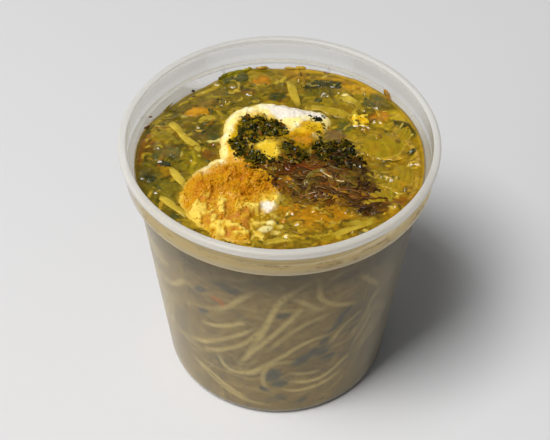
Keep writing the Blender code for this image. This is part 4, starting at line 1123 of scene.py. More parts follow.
def make_broth_top(rng):
    rings, cols = 126, 600
    aa = np.linspace(0, 2 * math.pi, cols, endpoint=False)
    reach = wall_r(LEVEL + edge_lift(np.cos(aa), np.sin(aa))) - 0.30
    rr = np.linspace(0.0, 1.0, rings) ** 0.86
    rr[0] = 0.001
    R = rr[:, None] * reach[None, :]
    X, Y = R * np.cos(aa)[None, :], R * np.sin(aa)[None, :]
    n1 = fbm(X / 15, Y / 15, 1.0, 3, 101)
    n2 = fbm(X / 7, Y / 7, 3.0, 4, 107)
    n3 = fbm(X / 2.4, Y / 2.4, 5.0, 3, 113)
    olive, amber, dark, brown = lin(112, 96, 10), lin(150, 116, 4), lin(74, 68, 10), lin(112, 78, 8)
    base = np.zeros(X.shape + (3,)) + olive
    warm = smooth(-0.45, 0.7, X / 50 * 0.75 - Y / 50 * 0.2 + n1 * 0.7)
    base = mix3(base, amber, warm)
    base = mix3(base, dark, smooth(0.0, 0.5, n2) * (0.75 - 0.5 * warm))
    base = mix3(base, brown, smooth(0.1, 0.5, -n2) * 0.5)
    base = mix3(base, lin(160, 136, 36), smooth(0.1, 0.5, n3) * 0.35)
    pen = Painter(X, Y, base)
    gold = [lin(170, 140, 20), lin(184, 150, 28), lin(150, 128, 18), lin(166, 122, 14), lin(132, 116, 20)]
    # strands deep in the broth, blurred by it
    for i in range(60):
        x0, y0 = open_spot(rng)
        pts = bent_path(x0, y0, rng.uniform(0, math.pi), rng.normal(0, 0.04), rng.uniform(9, 24))
        pen.strand(pts, rng.uniform(1.2, 1.9), lin(184, 158, 44) * rng.uniform(0.7, 1.0), depth=rng.uniform(0.6, 1.7),
                   lam=0.9, bump=0.25, seed=i, shade=0.14, flat=0.6, blur=(1.3, 0.4))
    # scraps of leaf, soft-edged
    for i in range(110):
        x0, y0 = open_spot(rng, 51.5)
        side = smooth(20, -25, x0)
        pen.patch(x0, y0, rng.uniform(0.9, 4.0), rng.uniform(0.5, 2.0), rng.uniform(0, 180),
                  mix3(lin(54, 52, 14), lin(104, 92, 26), rng.random()), amount=rng.uniform(0.3, 0.75) * (0.5 + 0.5 * side),
                  ragged=0.7, grain=1.7, bump=rng.uniform(0, 0.2), soft=0.25, seed=i)
    # slices of soft onion lying over one another, most of all on the right
    for i in range(84):
        x0, y0 = open_spot(rng)
        if rng.random() > 0.45 + 0.55 * smooth(-20, 20, x0):
            continue
        big = rng.uniform(2.2, 6.5)
        pen.sheet(x0, y0, big, big * rng.uniform(0.35, 0.8), rng.normal(8, 40), gold[rng.integers(0, 5)] * rng.uniform(0.8, 1.08),
                  amount=rng.uniform(0.35, 0.75), rim=rng.uniform(0.1, 0.5), lines=rng.uniform(0.03, 0.14),
                  bump=rng.uniform(0.12, 0.4), soft=rng.uniform(0.07, 0.2), seed=300 + i)
    # shreds of onion and noodle near the surface
    for i in range(70):
        x0, y0 = open_spot(rng)
        pts = bent_path(x0, y0, rng.normal(0.15, 0.7), rng.normal(0, 0.06), rng.uniform(5, 15), wig=0.25, rng=rng)
        pen.strand(pts, rng.uniform(0.4, 1.15), gold[rng.integers(0, 5)] * rng.uniform(0.85, 1.15), depth=rng.uniform(0.1, 0.7),
                   lam=0.9, bump=rng.uniform(0.25, 0.6), seed=700 + i, shade=0.22, flat=0.7, blur=(1.15, 0.6))
    # warm, browner shreds
    for i in range(46):
        x0, y0 = open_spot(rng)
        pen.patch(x0, y0, rng.uniform(1.2, 4.5), rng.uniform(0.5, 1.4), rng.normal(5, 40),
                  mix3(lin(160, 108, 12), lin(104, 68, 14), rng.random()), amount=rng.uniform(0.25, 0.65), ragged=0.6,
                  grain=1.6, bump=0.12, soft=0.28, seed=900 + i)
    # what was seen in this particular bowl, back left round to the front
    olive2, ochre, black = lin(112, 96, 34), lin(176, 150, 22), lin(50, 50, 20)
    for i, (poly, c, am, soft) in enumerate([
            ([(-34.5, 16.6), (-29.6, 18.2), (-26.0, 14.5), (-27.6, 11.4), (-32.0, 12.6)], lin(106, 84, 44), 0.7, 1.3),
            ([(-47.4, 9.6), (-40.5, 7.6), (-35.5, 3.6), (-37.0, 0.2), (-44.6, 2.2), (-48.4, 5.0)], lin(110, 96, 46), 0.75, 1.3),
            ([(-46.0, 17.5), (-41.0, 15.0), (-38.0, 10.5), (-43.0, 9.5), (-48.0, 12.0)], lin(128, 112, 26), 0.7, 1.2),
            ([(-36.0, 4.0), (-31.0, 6.5), (-28.5, 2.0), (-29.5, -6.0), (-33.5, -7.5), (-36.5, -2.0)], lin(140, 122, 14), 0.8, 1.4),
            ([(-28.5, 6.0), (-24.0, 5.4), (-22.4, 2.0), (-25.6, 0.4), (-29.4, 2.4)], lin(132, 80, 16), 0.75, 0.8),
            ([(-27.0, 20.0), (-21.6, 19.6), (-21.0, 14.6), (-24.0, 12.6), (-28.0, 14.0)], lin(66, 62, 20), 0.8, 0.9),
            ([(-34.5, 12.4), (-31.0, 13.0), (-28.0, 9.6), (-31.0, 8.6)], lin(88, 72, 24), 0.7, 0.8),
            ([(-24.5, 9.4), (-20.0, 9.0), (-19.5, 1.0), (-23.0, -1.5), (-25.5, 1.0)], lin(118, 88, 20), 0.6, 1.0),
            ([(-19.8, 38.7), (-13.7, 36.2), (-7.8, 36.5), (-9.0, 31.9), (-17.9, 29.9), (-21.5, 33.5)], lin(118, 102, 18), 0.7, 1.4),
            ([(-24.0, 31.0), (-17.0, 33.5), (-12.0, 31.0), (-14.0, 27.5), (-22.0, 27.5)], lin(104, 92, 22), 0.6, 1.2),
            ([(-25.0, 40.5), (-13.0, 42.0), (-8.0, 39.5), (-14.0, 36.5), (-23.0, 36.5)], lin(96, 78, 22), 0.75, 1.3),
            ([(-37.0, 29.0), (-30.5, 33.5), (-22.0, 35.5), (-24.0, 31.5), (-33.0, 30.5)], lin(126, 92, 30), 0.65, 1.0),
            ([(-24.4, 48.0), (-19.2, 50.6), (-12.6, 49.2), (-13.6, 43.4), (-21.5, 43.6)], lin(98, 90, 8), 0.9, 0.8),
            ([(-20.5, 48.5), (-17.0, 48.8), (-17.5, 46.6), (-20.8, 46.2)], lin(168, 148, 24), 0.75, 0.6),
            ([(-4.4, 38.6), (1.6, 38.8), (2.4, 35.4), (-0.9, 33.0), (-4.6, 34.6)], lin(58, 62, 18), 0.85, 0.8),
            ([(-3.5, 43.5), (1.0, 43.8), (2.6, 40.0), (-3.5, 40.2)], lin(92, 80, 16), 0.7, 0.9),
            ([(-9.0, 38.5), (-4.5, 39.0), (-5.0, 34.5), (-8.5, 34.8)], lin(150, 128, 16), 0.6, 0.9),
            ([(8.0, 42.6), (12.4, 45.8), (17.6, 45.6), (24.4, 44.4), (21.3, 41.3), (14.1, 41.0), (9.6, 40.6)], lin(46, 48, 20), 0.92, 0.6),
            ([(9.4, 40.4), (15.0, 40.8), (20.0, 39.6), (20.6, 36.8), (14.0, 36.4), (9.2, 37.4)], lin(96, 86, 18), 0.8, 0.8),
            ([(9.5, 36.6), (17.5, 35.6), (21.0, 33.6), (12.0, 31.4), (8.6, 33.0)], lin(140, 120, 20), 0.7, 0.9),
            ([(20.0, 33.6), (29.0, 30.2), (31.0, 27.6), (25.0, 28.2), (19.0, 30.6)], lin(126, 100, 12), 0.8, 0.7),
            ([(24.0, 43.0), (31.5, 41.8), (37.5, 37.8), (34.5, 36.4), (28.4, 37.6), (25.0, 40.0)], lin(186, 140, 22), 0.85, 0.9),
            ([(31.2, 32.8), (34.8, 36.6), (38.8, 37.0), (41.9, 33.6), (40.6, 28.2), (36.2, 26.8), (32.0, 28.4)], lin(96, 84, 26), 0.85, 0.7),
            ([(33.4, 32.0), (36.4, 34.4), (39.2, 32.4), (38.4, 29.6), (35.0, 29.2)], lin(122, 102, 46), 0.7, 0.6),
            ([(33.6, 26.8), (38.6, 27.6), (42.6, 25.6), (41.0, 22.6), (35.0, 22.6)], lin(188, 122, 18), 0.8, 0.8),
            ([(42.6, 21.4), (47.7, 20.4), (51.6, 14.6), (50.6, 11.6), (45.2, 16.4)], lin(88, 80, 18), 0.8, 0.8),
            ([(40.6, 27.4), (44.4, 26.8), (48.8, 21.0), (46.4, 20.0), (42.0, 23.4)], lin(176, 146, 22), 0.8, 0.8),
            ([(16.4, 16.6), (22.0, 18.0), (25.6, 14.4), (22.0, 11.6), (17.0, 12.4)], lin(118, 92, 56), 0.8, 0.9),
            ([(21.6, 21.6), (25.5, 22.6), (28.8, 18.4), (25.4, 16.4), (21.8, 17.6)], lin(86, 88, 22), 0.85, 0.8),
            ([(17.0, 24.4), (21.4, 24.0), (22.4, 19.2), (18.4, 18.0)], lin(124, 102, 16), 0.8, 0.8),
            ([(27.5, 16.6), (31.4, 16.8), (33.6, 13.4), (29.6, 10.4), (27.0, 12.0)], lin(156, 128, 26), 0.75, 0.8),
            ([(44.6, 12.0), (49.6, 9.0), (51.8, 0.0), (51.8, -12.0), (46.4, -12.0), (46.0, 4.0)], lin(160, 126, 18), 0.75, 1.2),
            ([(-50.5, -4.0), (-44.0, -7.0), (-42.0, -12.0), (-46.0, -16.0), (-51.0, -12.0)], lin(86, 80, 22), 0.75, 1.0),
            ([(-42.4, -11.0), (-37.4, -12.8), (-34.4, -16.4), (-38.4, -17.8), (-43.4, -15.4)], lin(110, 100, 22), 0.7, 1.0),
            ([(42.9, 22.3), (46.0, 21.0), (48.7, 19.2), (51.9, 14.2), (51.5, 12.3), (48.8, 14.6), (45.9, 18.6), (43.2, 20.2)], lin(64, 56, 12), 0.9, 0.5),
            ([(41.0, -18.7), (44.1, -17.8), (47.7, -17.3), (49.6, -15.5), (48.2, -19.0), (44.4, -22.0), (41.8, -22.0)], lin(136, 84, 10), 0.85, 0.8),
            ([(29.8, -6.9), (32.8, -6.0), (35.5, -6.4), (33.6, -9.5), (31.7, -13.8), (30.2, -11.7)], lin(88, 60, 12), 0.85, 0.8),
            ([(36.0, -18.8), (38.9, -18.7), (40.8, -23.3), (38.9, -25.4), (36.1, -23.0)], lin(92, 56, 14), 0.85, 0.7),
            ([(42.8, 19.1), (45.2, 16.8), (44.9, 12.6), (42.5, 14.0)], lin(172, 140, 44), 0.7, 0.8),
            ([(36.7, 26.0), (39.2, 25.1), (41.6, 22.3), (39.0, 20.4), (37.0, 23.2)], lin(172, 122, 10), 0.75, 0.9),
            ([(-51.3, 10.0), (-48.9, 11.5), (-46.9, 8.3), (-47.1, 2.9), (-49.8, 1.9), (-51.3, 5.5)], lin(96, 66, 14), 0.8, 0.8)]):
        pen.area(poly, c, amount=am, soft=soft, wob=0.9, grain=2.0, bump=0.10, seed=1500 + i)
    # traced shreds and noodles; the dark one along (-29.7, 18.2) to (-22.9, 21.2) is a painted shadow under the noodle
    # left_short
    for i, (pts, r, c, bump) in enumerate([
            ([(-47.6, 20.4), (-44.8, 24.4), (-41.8, 26.9)], 1.3, ochre, 0.3), ([(-36.6, 33.9), (-31.0, 39.2), (-23.9, 43.2)], 1.3, ochre, 0.3),
            ([(-50.4, 11.5), (-51.2, 3.4), (-51.4, -3.4)], 1.4, lin(134, 88, 20), 0.2), ([(-29.7, 18.2), (-26.7, 20.4), (-22.9, 21.2)], 0.7, lin(64, 58, 20), 0.0),
            ([(5.4, 51.2), (10.7, 51.5), (17.7, 50.6), (24.7, 48.1), (31.5, 43.9), (36.7, 40.7)], 1.7, lin(190, 148, 26), 0.35),
            ([(6.0, 47.4), (12.0, 47.8), (20.0, 46.6), (27.0, 43.8)], 1.2, lin(176, 132, 20), 0.3),
            ([(2.0, 44.0), (3.4, 47.4), (6.2, 48.8)], 0.6, lin(88, 64, 12), 0.0), ([(47.5, 11.0), (50.3, 4.7), (51.6, -2.5)], 0.9, lin(186, 150, 56), 0.4),
            ([(45.0, 6.0), (48.0, 1.0), (49.4, -6.0)], 0.7, lin(140, 110, 20), 0.3), ([(50.4, -6.0), (49.6, -13.0), (46.8, -19.0)], 0.9, lin(190, 154, 52), 0.4),
            ([(30.0, -9.0), (35.1, -7.2), (39.9, -8.4), (43.2, -11.4)], 0.5, lin(196, 164, 72), 0.4),
            ([(31.0, -13.0), (36.0, -11.5), (42.0, -13.4)], 0.5, lin(186, 150, 50), 0.35),
            ([(-44.0, 14.6), (-40.6, 12.4), (-38.0, 8.6)], 0.9, lin(150, 130, 30), 0.2), ([(-41.0, 30.4), (-37.6, 31.6), (-34.4, 31.2)], 1.1, lin(100, 84, 22), 0.0),
            ([(-32.6, -6.6), (-31.4, 1.1), (-32.6, 6.2)], 1.0, lin(158, 138, 18), 0.25), ([(-22.6, 46.6), (-18.0, 47.6), (-14.4, 46.4)], 0.6, lin(70, 66, 10), 0.1),
            ([(30.4, -4.7), (33.2, -4.4), (36.8, -4.8), (41.0, -5.4)], 0.5, lin(166, 140, 48), 0.35),
            ([(35.4, -11.1), (34.6, -14.6), (36.3, -18.8)], 0.6, lin(176, 150, 54), 0.35),
            ([(40.4, -13.6), (40.5, -17.4), (40.0, -20.8)], 0.6, lin(160, 150, 30), 0.3),
            ([(36.0, -24.4), (39.6, -21.8), (44.0, -20.4)], 0.5, lin(104, 64, 12), 0.2),
            ([(41.6, -15.0), (45.0, -16.0), (48.6, -14.4)], 0.5, lin(192, 150, 40), 0.3)]):
        pen.strand(pts, r, c, depth=0.0, lam=1.0, bump=bump, seed=1700 + i, shade=0.12, flat=0.5, dive=0.6, blur=(1.2, 0.45))
    # small traced bits; the near-white spot at (-30.9, 17.6) is a painted glint
    for i, (x, y, a, b, ang, c, am) in enumerate([
            (-44.3, 6.6, 1.1, 0.8, 0, lin(206, 184, 34), 0.9), (-33.7, 36.9, 0.9, 0.7, 30, lin(36, 34, 12), 0.95),
            (-24.6, 10.4, 2.2, 1.0, 10, lin(218, 206, 116), 0.9), (-22.6, 11.6, 1.2, 0.8, 40, lin(226, 214, 130), 0.9),
            (-42.6, -2.4, 2.6, 1.2, 5, lin(58, 62, 42), 0.9), (-46.9, -10.0, 2.4, 1.1, -5, lin(42, 46, 18), 0.9),
            (-45.6, 15.6, 0.9, 0.6, 0, lin(70, 56, 14), 0.8), (-49.0, 12.4, 1.2, 1.0, 0, lin(150, 96, 20), 0.8),
            (25.4, 36.2, 2.0, 1.2, -30, lin(238, 222, 140), 0.85), (28.0, 33.6, 1.4, 1.0, -30, lin(226, 210, 120), 0.8),
            (-30.9, 17.6, 0.6, 0.5, 0, lin(226, 216, 180), 0.8), (-36.0, 25.0, 1.6, 0.9, 20, lin(186, 166, 90), 0.7),
            (11.0, 44.0, 1.0, 0.8, 0, lin(150, 142, 70), 0.7), (20.6, 42.6, 1.6, 0.8, 0, lin(86, 78, 40), 0.6),
            (-10.0, 31.2, 3.0, 1.2, 5, lin(86, 78, 14), 0.7), (46.4, 4.6, 2.8, 1.0, -30, lin(118, 92, 16), 0.6),
            (-20.0, 24.6, 2.6, 1.0, -60, lin(96, 90, 20), 0.7), (-18.4, 9.0, 1.0, 3.6, 0, lin(110, 92, 26), 0.6)]):
        pen.patch(x, y, a, b, ang, c, amount=am, ragged=0.35, grain=1.6, bump=0.10, soft=0.28, seed=1900 + i)
    # cream clouding the broth close to the kashk
    rho = np.minimum(share(BACK_CENTRE, BACK_RADII, pen.x, pen.y), share(FRONT_CENTRE, FRONT_RADII, pen.x, pen.y))
    cloud = smooth(1.12, 0.98, rho + 0.09 * fbm(pen.x / 1.5, pen.y / 1.5, 0, 3, 131))
    pen.col = mix3(pen.col, lin(176, 146, 34), cloud * 0.6)
    # orange oil spread over the front right
    oil = smooth(-5.0, 2.0, polygon_depth(OIL_ZONE, pen.x, pen.y) + 1.8 * fbm(pen.x / 3, pen.y / 3, 0, 3, 137))
    pen.col = mix3(pen.col, lin(190, 126, 2), oil * 0.7)
    # browned onion spreads its colour round the heap
    near = smooth(-2.2, 1.6, polygon_depth(ONION_ALL, pen.x, pen.y) + 2.0 * fbm(pen.x / 3.2, pen.y / 1.6, 0, 3, 143))
    pen.col = mix3(pen.col, onion_tone(pen.x, pen.y) * 0.72, near * 0.92)
    near = smooth(-1.6, 1.2, polygon_depth(MINT_RIGHT, pen.x, pen.y) + 1.6 * fbm(pen.x / 2.6, pen.y / 1.6, 0, 3, 145))
    pen.col = mix3(pen.col, lin(34, 30, 14), near * 0.75)
    # the wet hole at the foot of the front lobe, green and cloudy
    hole = smooth(-1.5, 1.5, polygon_depth(GREEN_HOLE, pen.x, pen.y) + 1.5 * fbm(pen.x / 2, pen.y / 2, 0, 3, 139))
    pen.col = mix3(pen.col, mix3(lin(160, 124, 8), lin(228, 198, 84), smooth(0.08, 0.4, fbm(pen.x / 1.9, pen.y / 1.5, 2, 3, 141))), hole * 0.9)
    for i, (x, y, a, b, ang, c) in enumerate([
            (-2.6, -31.6, 1.7, 1.2, 0, lin(240, 226, 150)), (0.8, -33.6, 1.1, 0.8, 0, lin(228, 204, 100)),
            (-4.6, -34.8, 2.6, 1.5, 10, lin(236, 220, 144)), (-0.4, -36.4, 1.5, 1.0, 0, lin(226, 200, 96)),
            (1.8, -30.6, 0.9, 1.3, 0, lin(190, 120, 22)), (-6.8, -36.8, 1.4, 0.9, -20, lin(214, 176, 60)),
            (-0.8, -39.6, 2.6, 1.0, 0, lin(96, 78, 16)), (3.8, -38.2, 2.8, 0.9, 15, lin(208, 176, 60))]):
        pen.patch(x, y, a, b, ang, c, amount=0.92, ragged=0.35, grain=1.1, bump=0.45, soft=0.3, seed=2100 + i)
    for i in range(260):
        x0, y0 = open_spot(rng, 51.5)
        c = [lin(70, 60, 12), lin(98, 74, 10), lin(190, 158, 36), lin(206, 172, 52), lin(148, 96, 8)][rng.choice(5, p=[0.28, 0.22, 0.2, 0.14, 0.16])]
        pts = bent_path(x0, y0, rng.normal(0.1, 0.6), rng.normal(0, 0.15), rng.uniform(1.5, 6.0), wig=0.2, rng=rng)
        pen.strand(pts, rng.uniform(0.25, 0.7), c, depth=rng.uniform(0.0, 0.3), lam=1.0, bump=rng.uniform(0.1, 0.4), seed=2600 + i,
                   shade=0.15, flat=0.6, blur=(1.2, 0.5))
    grit = fbm(pen.x / 1.5, pen.y / 1.0, 6.0, 3, 147)
    pen.col = pen.col * (1 + 0.34 * np.clip(grit, -0.6, 0.9))[:, None]
    # small scraps and specks floating at the top
    for i in range(320):
        x0, y0 = open_spot(rng, 51.5)
        c = [lin(60, 56, 14), lin(92, 78, 18), lin(190, 160, 50), lin(118, 70, 12), lin(206, 184, 84)][rng.choice(5, p=[0.3, 0.22, 0.2, 0.16, 0.12])]
        pen.patch(x0, y0, rng.uniform(0.35, 1.5), rng.uniform(0.3, 0.7), rng.uniform(0, 180), c, amount=rng.uniform(0.35, 0.85),
                  ragged=0.4, grain=0.9, bump=rng.uniform(0.0, 0.2), soft=0.3, seed=2200 + i)
    # beads of oil
    for i in range(260):
        x0, y0 = open_spot(rng, 51.5)
        rb = rng.uniform(0.35, 1.0) ** 2 * 1.4 + 0.25
        idx = pen.near((x0 - rb - 0.6, y0 - rb - 0.6), (x0 + rb + 0.6, y0 + rb + 0.6))
        d = np.hypot(pen.x[idx] - x0, pen.y[idx] - y0) / rb
        pen.col[idx] = mix3(pen.col[idx], pen.col[idx] * 1.25 + lin(60, 40, 0) * 0.5, smooth(1.1, 0.7, d) * 0.35)
        pen.h[idx] += 0.14 * rb * np.sqrt(np.clip(1 - d * d, 0, 1))
    for i, (x0, y0, ln) in enumerate(SHINE):
        pen.ridge(x0, y0, 1.25 * ln + 0.6, ang=6 * math.sin(i * 2.1), front=1.5, tail=2.8, height=0.80, seed=i)
    for i in range(80):
        x0, y0 = open_spot(rng, 49.0)
        pen.ridge(x0, y0, rng.uniform(0.5, 1.8), ang=rng.normal(0, 22), front=rng.uniform(0.9, 1.4), tail=rng.uniform(1.5, 3.0),
                  height=rng.uniform(0.25, 0.62), seed=40 + i)
    # the rim of broth against the wall is thin, and is painted brighter as painted light over the shade where it meets
    # the wall
    edge = smooth(1.5, 0.2, np.repeat((reach[None, :] - R).reshape(-1), 1))
    pen.col = mix3(pen.col, lin(184, 152, 50), edge * 0.55)
    pimple = np.maximum(0, fbm(pen.x / 1.3, pen.y / 1.3, 0, 2, 149)) ** 1.5 * 0.4
    fade = smooth(0.0, 1.2, (reach[None, :] - R).reshape(-1))
    Zs = surface_z(pen.x, pen.y) + fade * (pen.h + 0.05 * fbm(pen.x / 0.9, pen.y / 0.9, 0, 2, 151) + pimple)
    v = np.stack([pen.x, pen.y, Zs], 1)
    mat = food_material("broth_top", rough=0.11, rough_vary=0.05, coat=0.25, coat_rough=0.05, sss=0.0, spec=0.4,
                        fine=1300.0, fine_amount=0.14, broad=330.0, broad_amount=0.12, bump=0.35, bump_scale=620.0,
                        bump_dist=0.00035)
    faces = grid_faces(rings, cols, wrap=True)
    obj = mesh_object("broth_top", v, [faces], mat, pen.col)
    ride(obj, ("soup",))


def drape(path, rise, sink=1.3, ends=0.30):
    """Lays a 2-D path on the broth: up by `rise`, ends dipping under."""
    n = len(path)
    t = np.linspace(0, 1, n)
    dip = np.maximum(0, 1 - np.minimum(t, 1 - t) / ends) ** 2 * sink
    z = surface_z(path[:, 0], path[:, 1]) + rise - dip
    k = 4
    z = np.convolve(np.pad(z, k, mode="edge"), np.ones(2 * k + 1) / (2 * k + 1), mode="valid")
    return np.column_stack([path, z])


def make_top_noodles(rng):
    bag = Bag()
    pale, deep = lin(204, 178, 62), lin(164, 136, 24)

    def add(points, hw, rise, sink=1.3, tone=0.5, thick=0.42):
        path = spline(points, 0.7)
        path = path + 0.15 * np.stack([vnoise(path[:, 0] / 4, path[:, 1] / 4, 1, 3), vnoise(path[:, 0] / 4, path[:, 1] / 4, 9, 4)], 1)
        P = drape(path, rise, sink)
        tilt = 0.35 * vnoise(np.arange(len(P)) / 9.0, hw * 13.0, 0, 8)
        side, up = path_frames(P)
        side2 = side * np.cos(tilt)[:, None] + up * np.sin(tilt)[:, None]
        up2 = np.cross(side2, np.gradient(P, axis=0))
        up2 /= np.linalg.norm(up2, axis=1, keepdims=True)
        w = hw * (1 + 0.12 * vnoise(np.arange(len(P)) / 5.0, hw * 7.0, 2, 12))
        v, f = sweep(P, w, hw * thick, side2, up2, sides=14, squareness=2.8)
        n = fbm(v[:, 0] / 2.5, v[:, 1] / 2.5, 0, 2, 17)
        c = mix3(deep, pale, np.clip(tone + 0.45 * n, 0, 1))
        film = smooth(0.62, -0.12, v[:, 2] - surface_z(v[:, 0], v[:, 1]) + 0.45 * fbm(v[:, 0] / 1.5, v[:, 1] / 1.5, 3, 2, 19))
        c = mix3(c, lin(130, 106, 14), film * 0.9)
        bag.add(v, f, c)

    for name, (pts, hw) in TOP_STRANDS.items():
        tone = {"back_wide": 0.2, "left_long": 0.7, "left_low": 0.85, "arch": 0.3, "back_right": 0.7, "front_left": 0.75,
                "front_a": 0.35, "front_b": 0.3, "front_d": 0.45}.get(name, 0.5)
        rise = {"back_wide": 0.25, "front_a": 0.1, "front_b": -0.1, "front_d": -0.1, "front_c": 0.0}.get(name, 0.12)
        add(pts, hw * 1.22, rise, tone=tone, thick=0.28 if name == "back_wide" else 0.40)
    for i in range(30):
        for _ in range(40):
            a, q = rng.uniform(0, 2 * math.pi), 49 * math.sqrt(rng.random())
            x0, y0 = q * math.cos(a), q * math.sin(a)
            if kashk_height(np.array(x0), np.array(y0)) <= 0 and share(ONION_CENTRE, ONION_RADII, x0, y0) > 1.05:
                break
        ang, bend, ln = rng.uniform(0, math.pi), rng.normal(0, 0.05), rng.uniform(8, 20)
        t = np.linspace(-0.5, 0.5, 6) * ln
        pts = np.stack([x0 + t * math.cos(ang) - bend * t * t * math.sin(ang),
                        y0 + t * math.sin(ang) + bend * t * t * math.cos(ang)], 1)
        k = np.hypot(pts[:, 0], pts[:, 1])
        pts *= np.minimum(1.0, 50.0 / np.maximum(k, 1e-6))[:, None]
        add(pts, rng.uniform(1.1, 1.6), rng.uniform(-0.85, -0.35), tone=rng.uniform(0.0, 0.45))
    mat = food_material("noodle", rough=0.29, rough_vary=0.08, coat=0.12, coat_rough=0.10, spec=0.28, sss=0.2,
                        sss_radius=(1.0, 0.7, 0.3), sss_scale=0.0012, fine=1600.0, fine_amount=0.08, broad=500.0,
                        broad_amount=0.10, bump=0.15, bump_scale=900.0)
    ride(bag.build("noodles_top", mat))
    return bag.triangles()


# --------------------------------------------------------------------------
# Kashk
# --------------------------------------------------------------------------
def curd_noise(x, y):
    return fbm(x / 2.9, y / 2.9, 0.0, 3, 211)


def kashk_surface(x, y):
    """Height of the cream over the table, with its curdled relief."""
    x, y = np.asarray(x, float), np.asarray(y, float)
    wx, wy = 1.1 * fbm(x / 3.6, y / 3.6, 11.0, 3, 203), 1.1 * fbm(x / 3.6, y / 3.6, 17.0, 3, 205)
    h = kashk_height(x + wx, y + wy)
    rb = share(BACK_CENTRE, BACK_RADII, x + wx, y + wy)
    rf = share(FRONT_CENTRE, FRONT_RADII, x + wx, y + wy)
    rho = np.minimum(rb, rf)
    edge = smooth(1.03, 0.86, rho)
    lumps = 0.5 * fbm(x / 4.2, y / 4.2, 0.0, 3, 201) + 0.34 * (1 - 2.2 * np.abs(fbm(x / 2.0, y / 2.0, 2.0, 3, 207)))
    front = smooth(0.1, 0.9, rb - rf)
    curds = 1.7 * smooth(-0.10, 0.34, curd_noise(x, y)) - 0.7 + 0.35 * fbm(x / 1.1, y / 1.1, 3.0, 2, 217)
    lumps = lumps * (1 - 0.4 * front) + front * curds
    out = np.where(rho > 1.0, -(rho - 1.0) * 14.0, 0.0)
    hole = smooth(-1.2, 1.2, polygon_depth(GREEN_HOLE, x, y) + 1.2 * fbm(x / 2, y / 2, 0, 2, 213))
    return soup_z(x, y) + h + edge * lumps + out - hole * 3.4


def stains(x, y):
    """How strongly mint, yellow oil and white curd show at each point."""
    w = 1.3 * fbm(x / 2.6, y / 2.6, 7.0, 3, 221)
    mint = np.maximum.reduce([polygon_depth(p, x, y) for p in (MINT_MAIN, MINT_LOW, MINT_MID, MINT_RIGHT)]) + w
    amber = np.maximum.reduce([polygon_depth(p, x, y) for p in AMBER]) + w
    yellow = np.maximum.reduce([polygon_depth(p, x, y) for p in YELLOW]) + w
    pale = np.maximum.reduce([polygon_depth(p, x, y) for p in PALE_YELLOW]) + 0.6 * w
    white = np.maximum.reduce([polygon_depth(p, x, y) for p in WHITE]) + 0.6 * w
    return mint, yellow, pale, white, amber


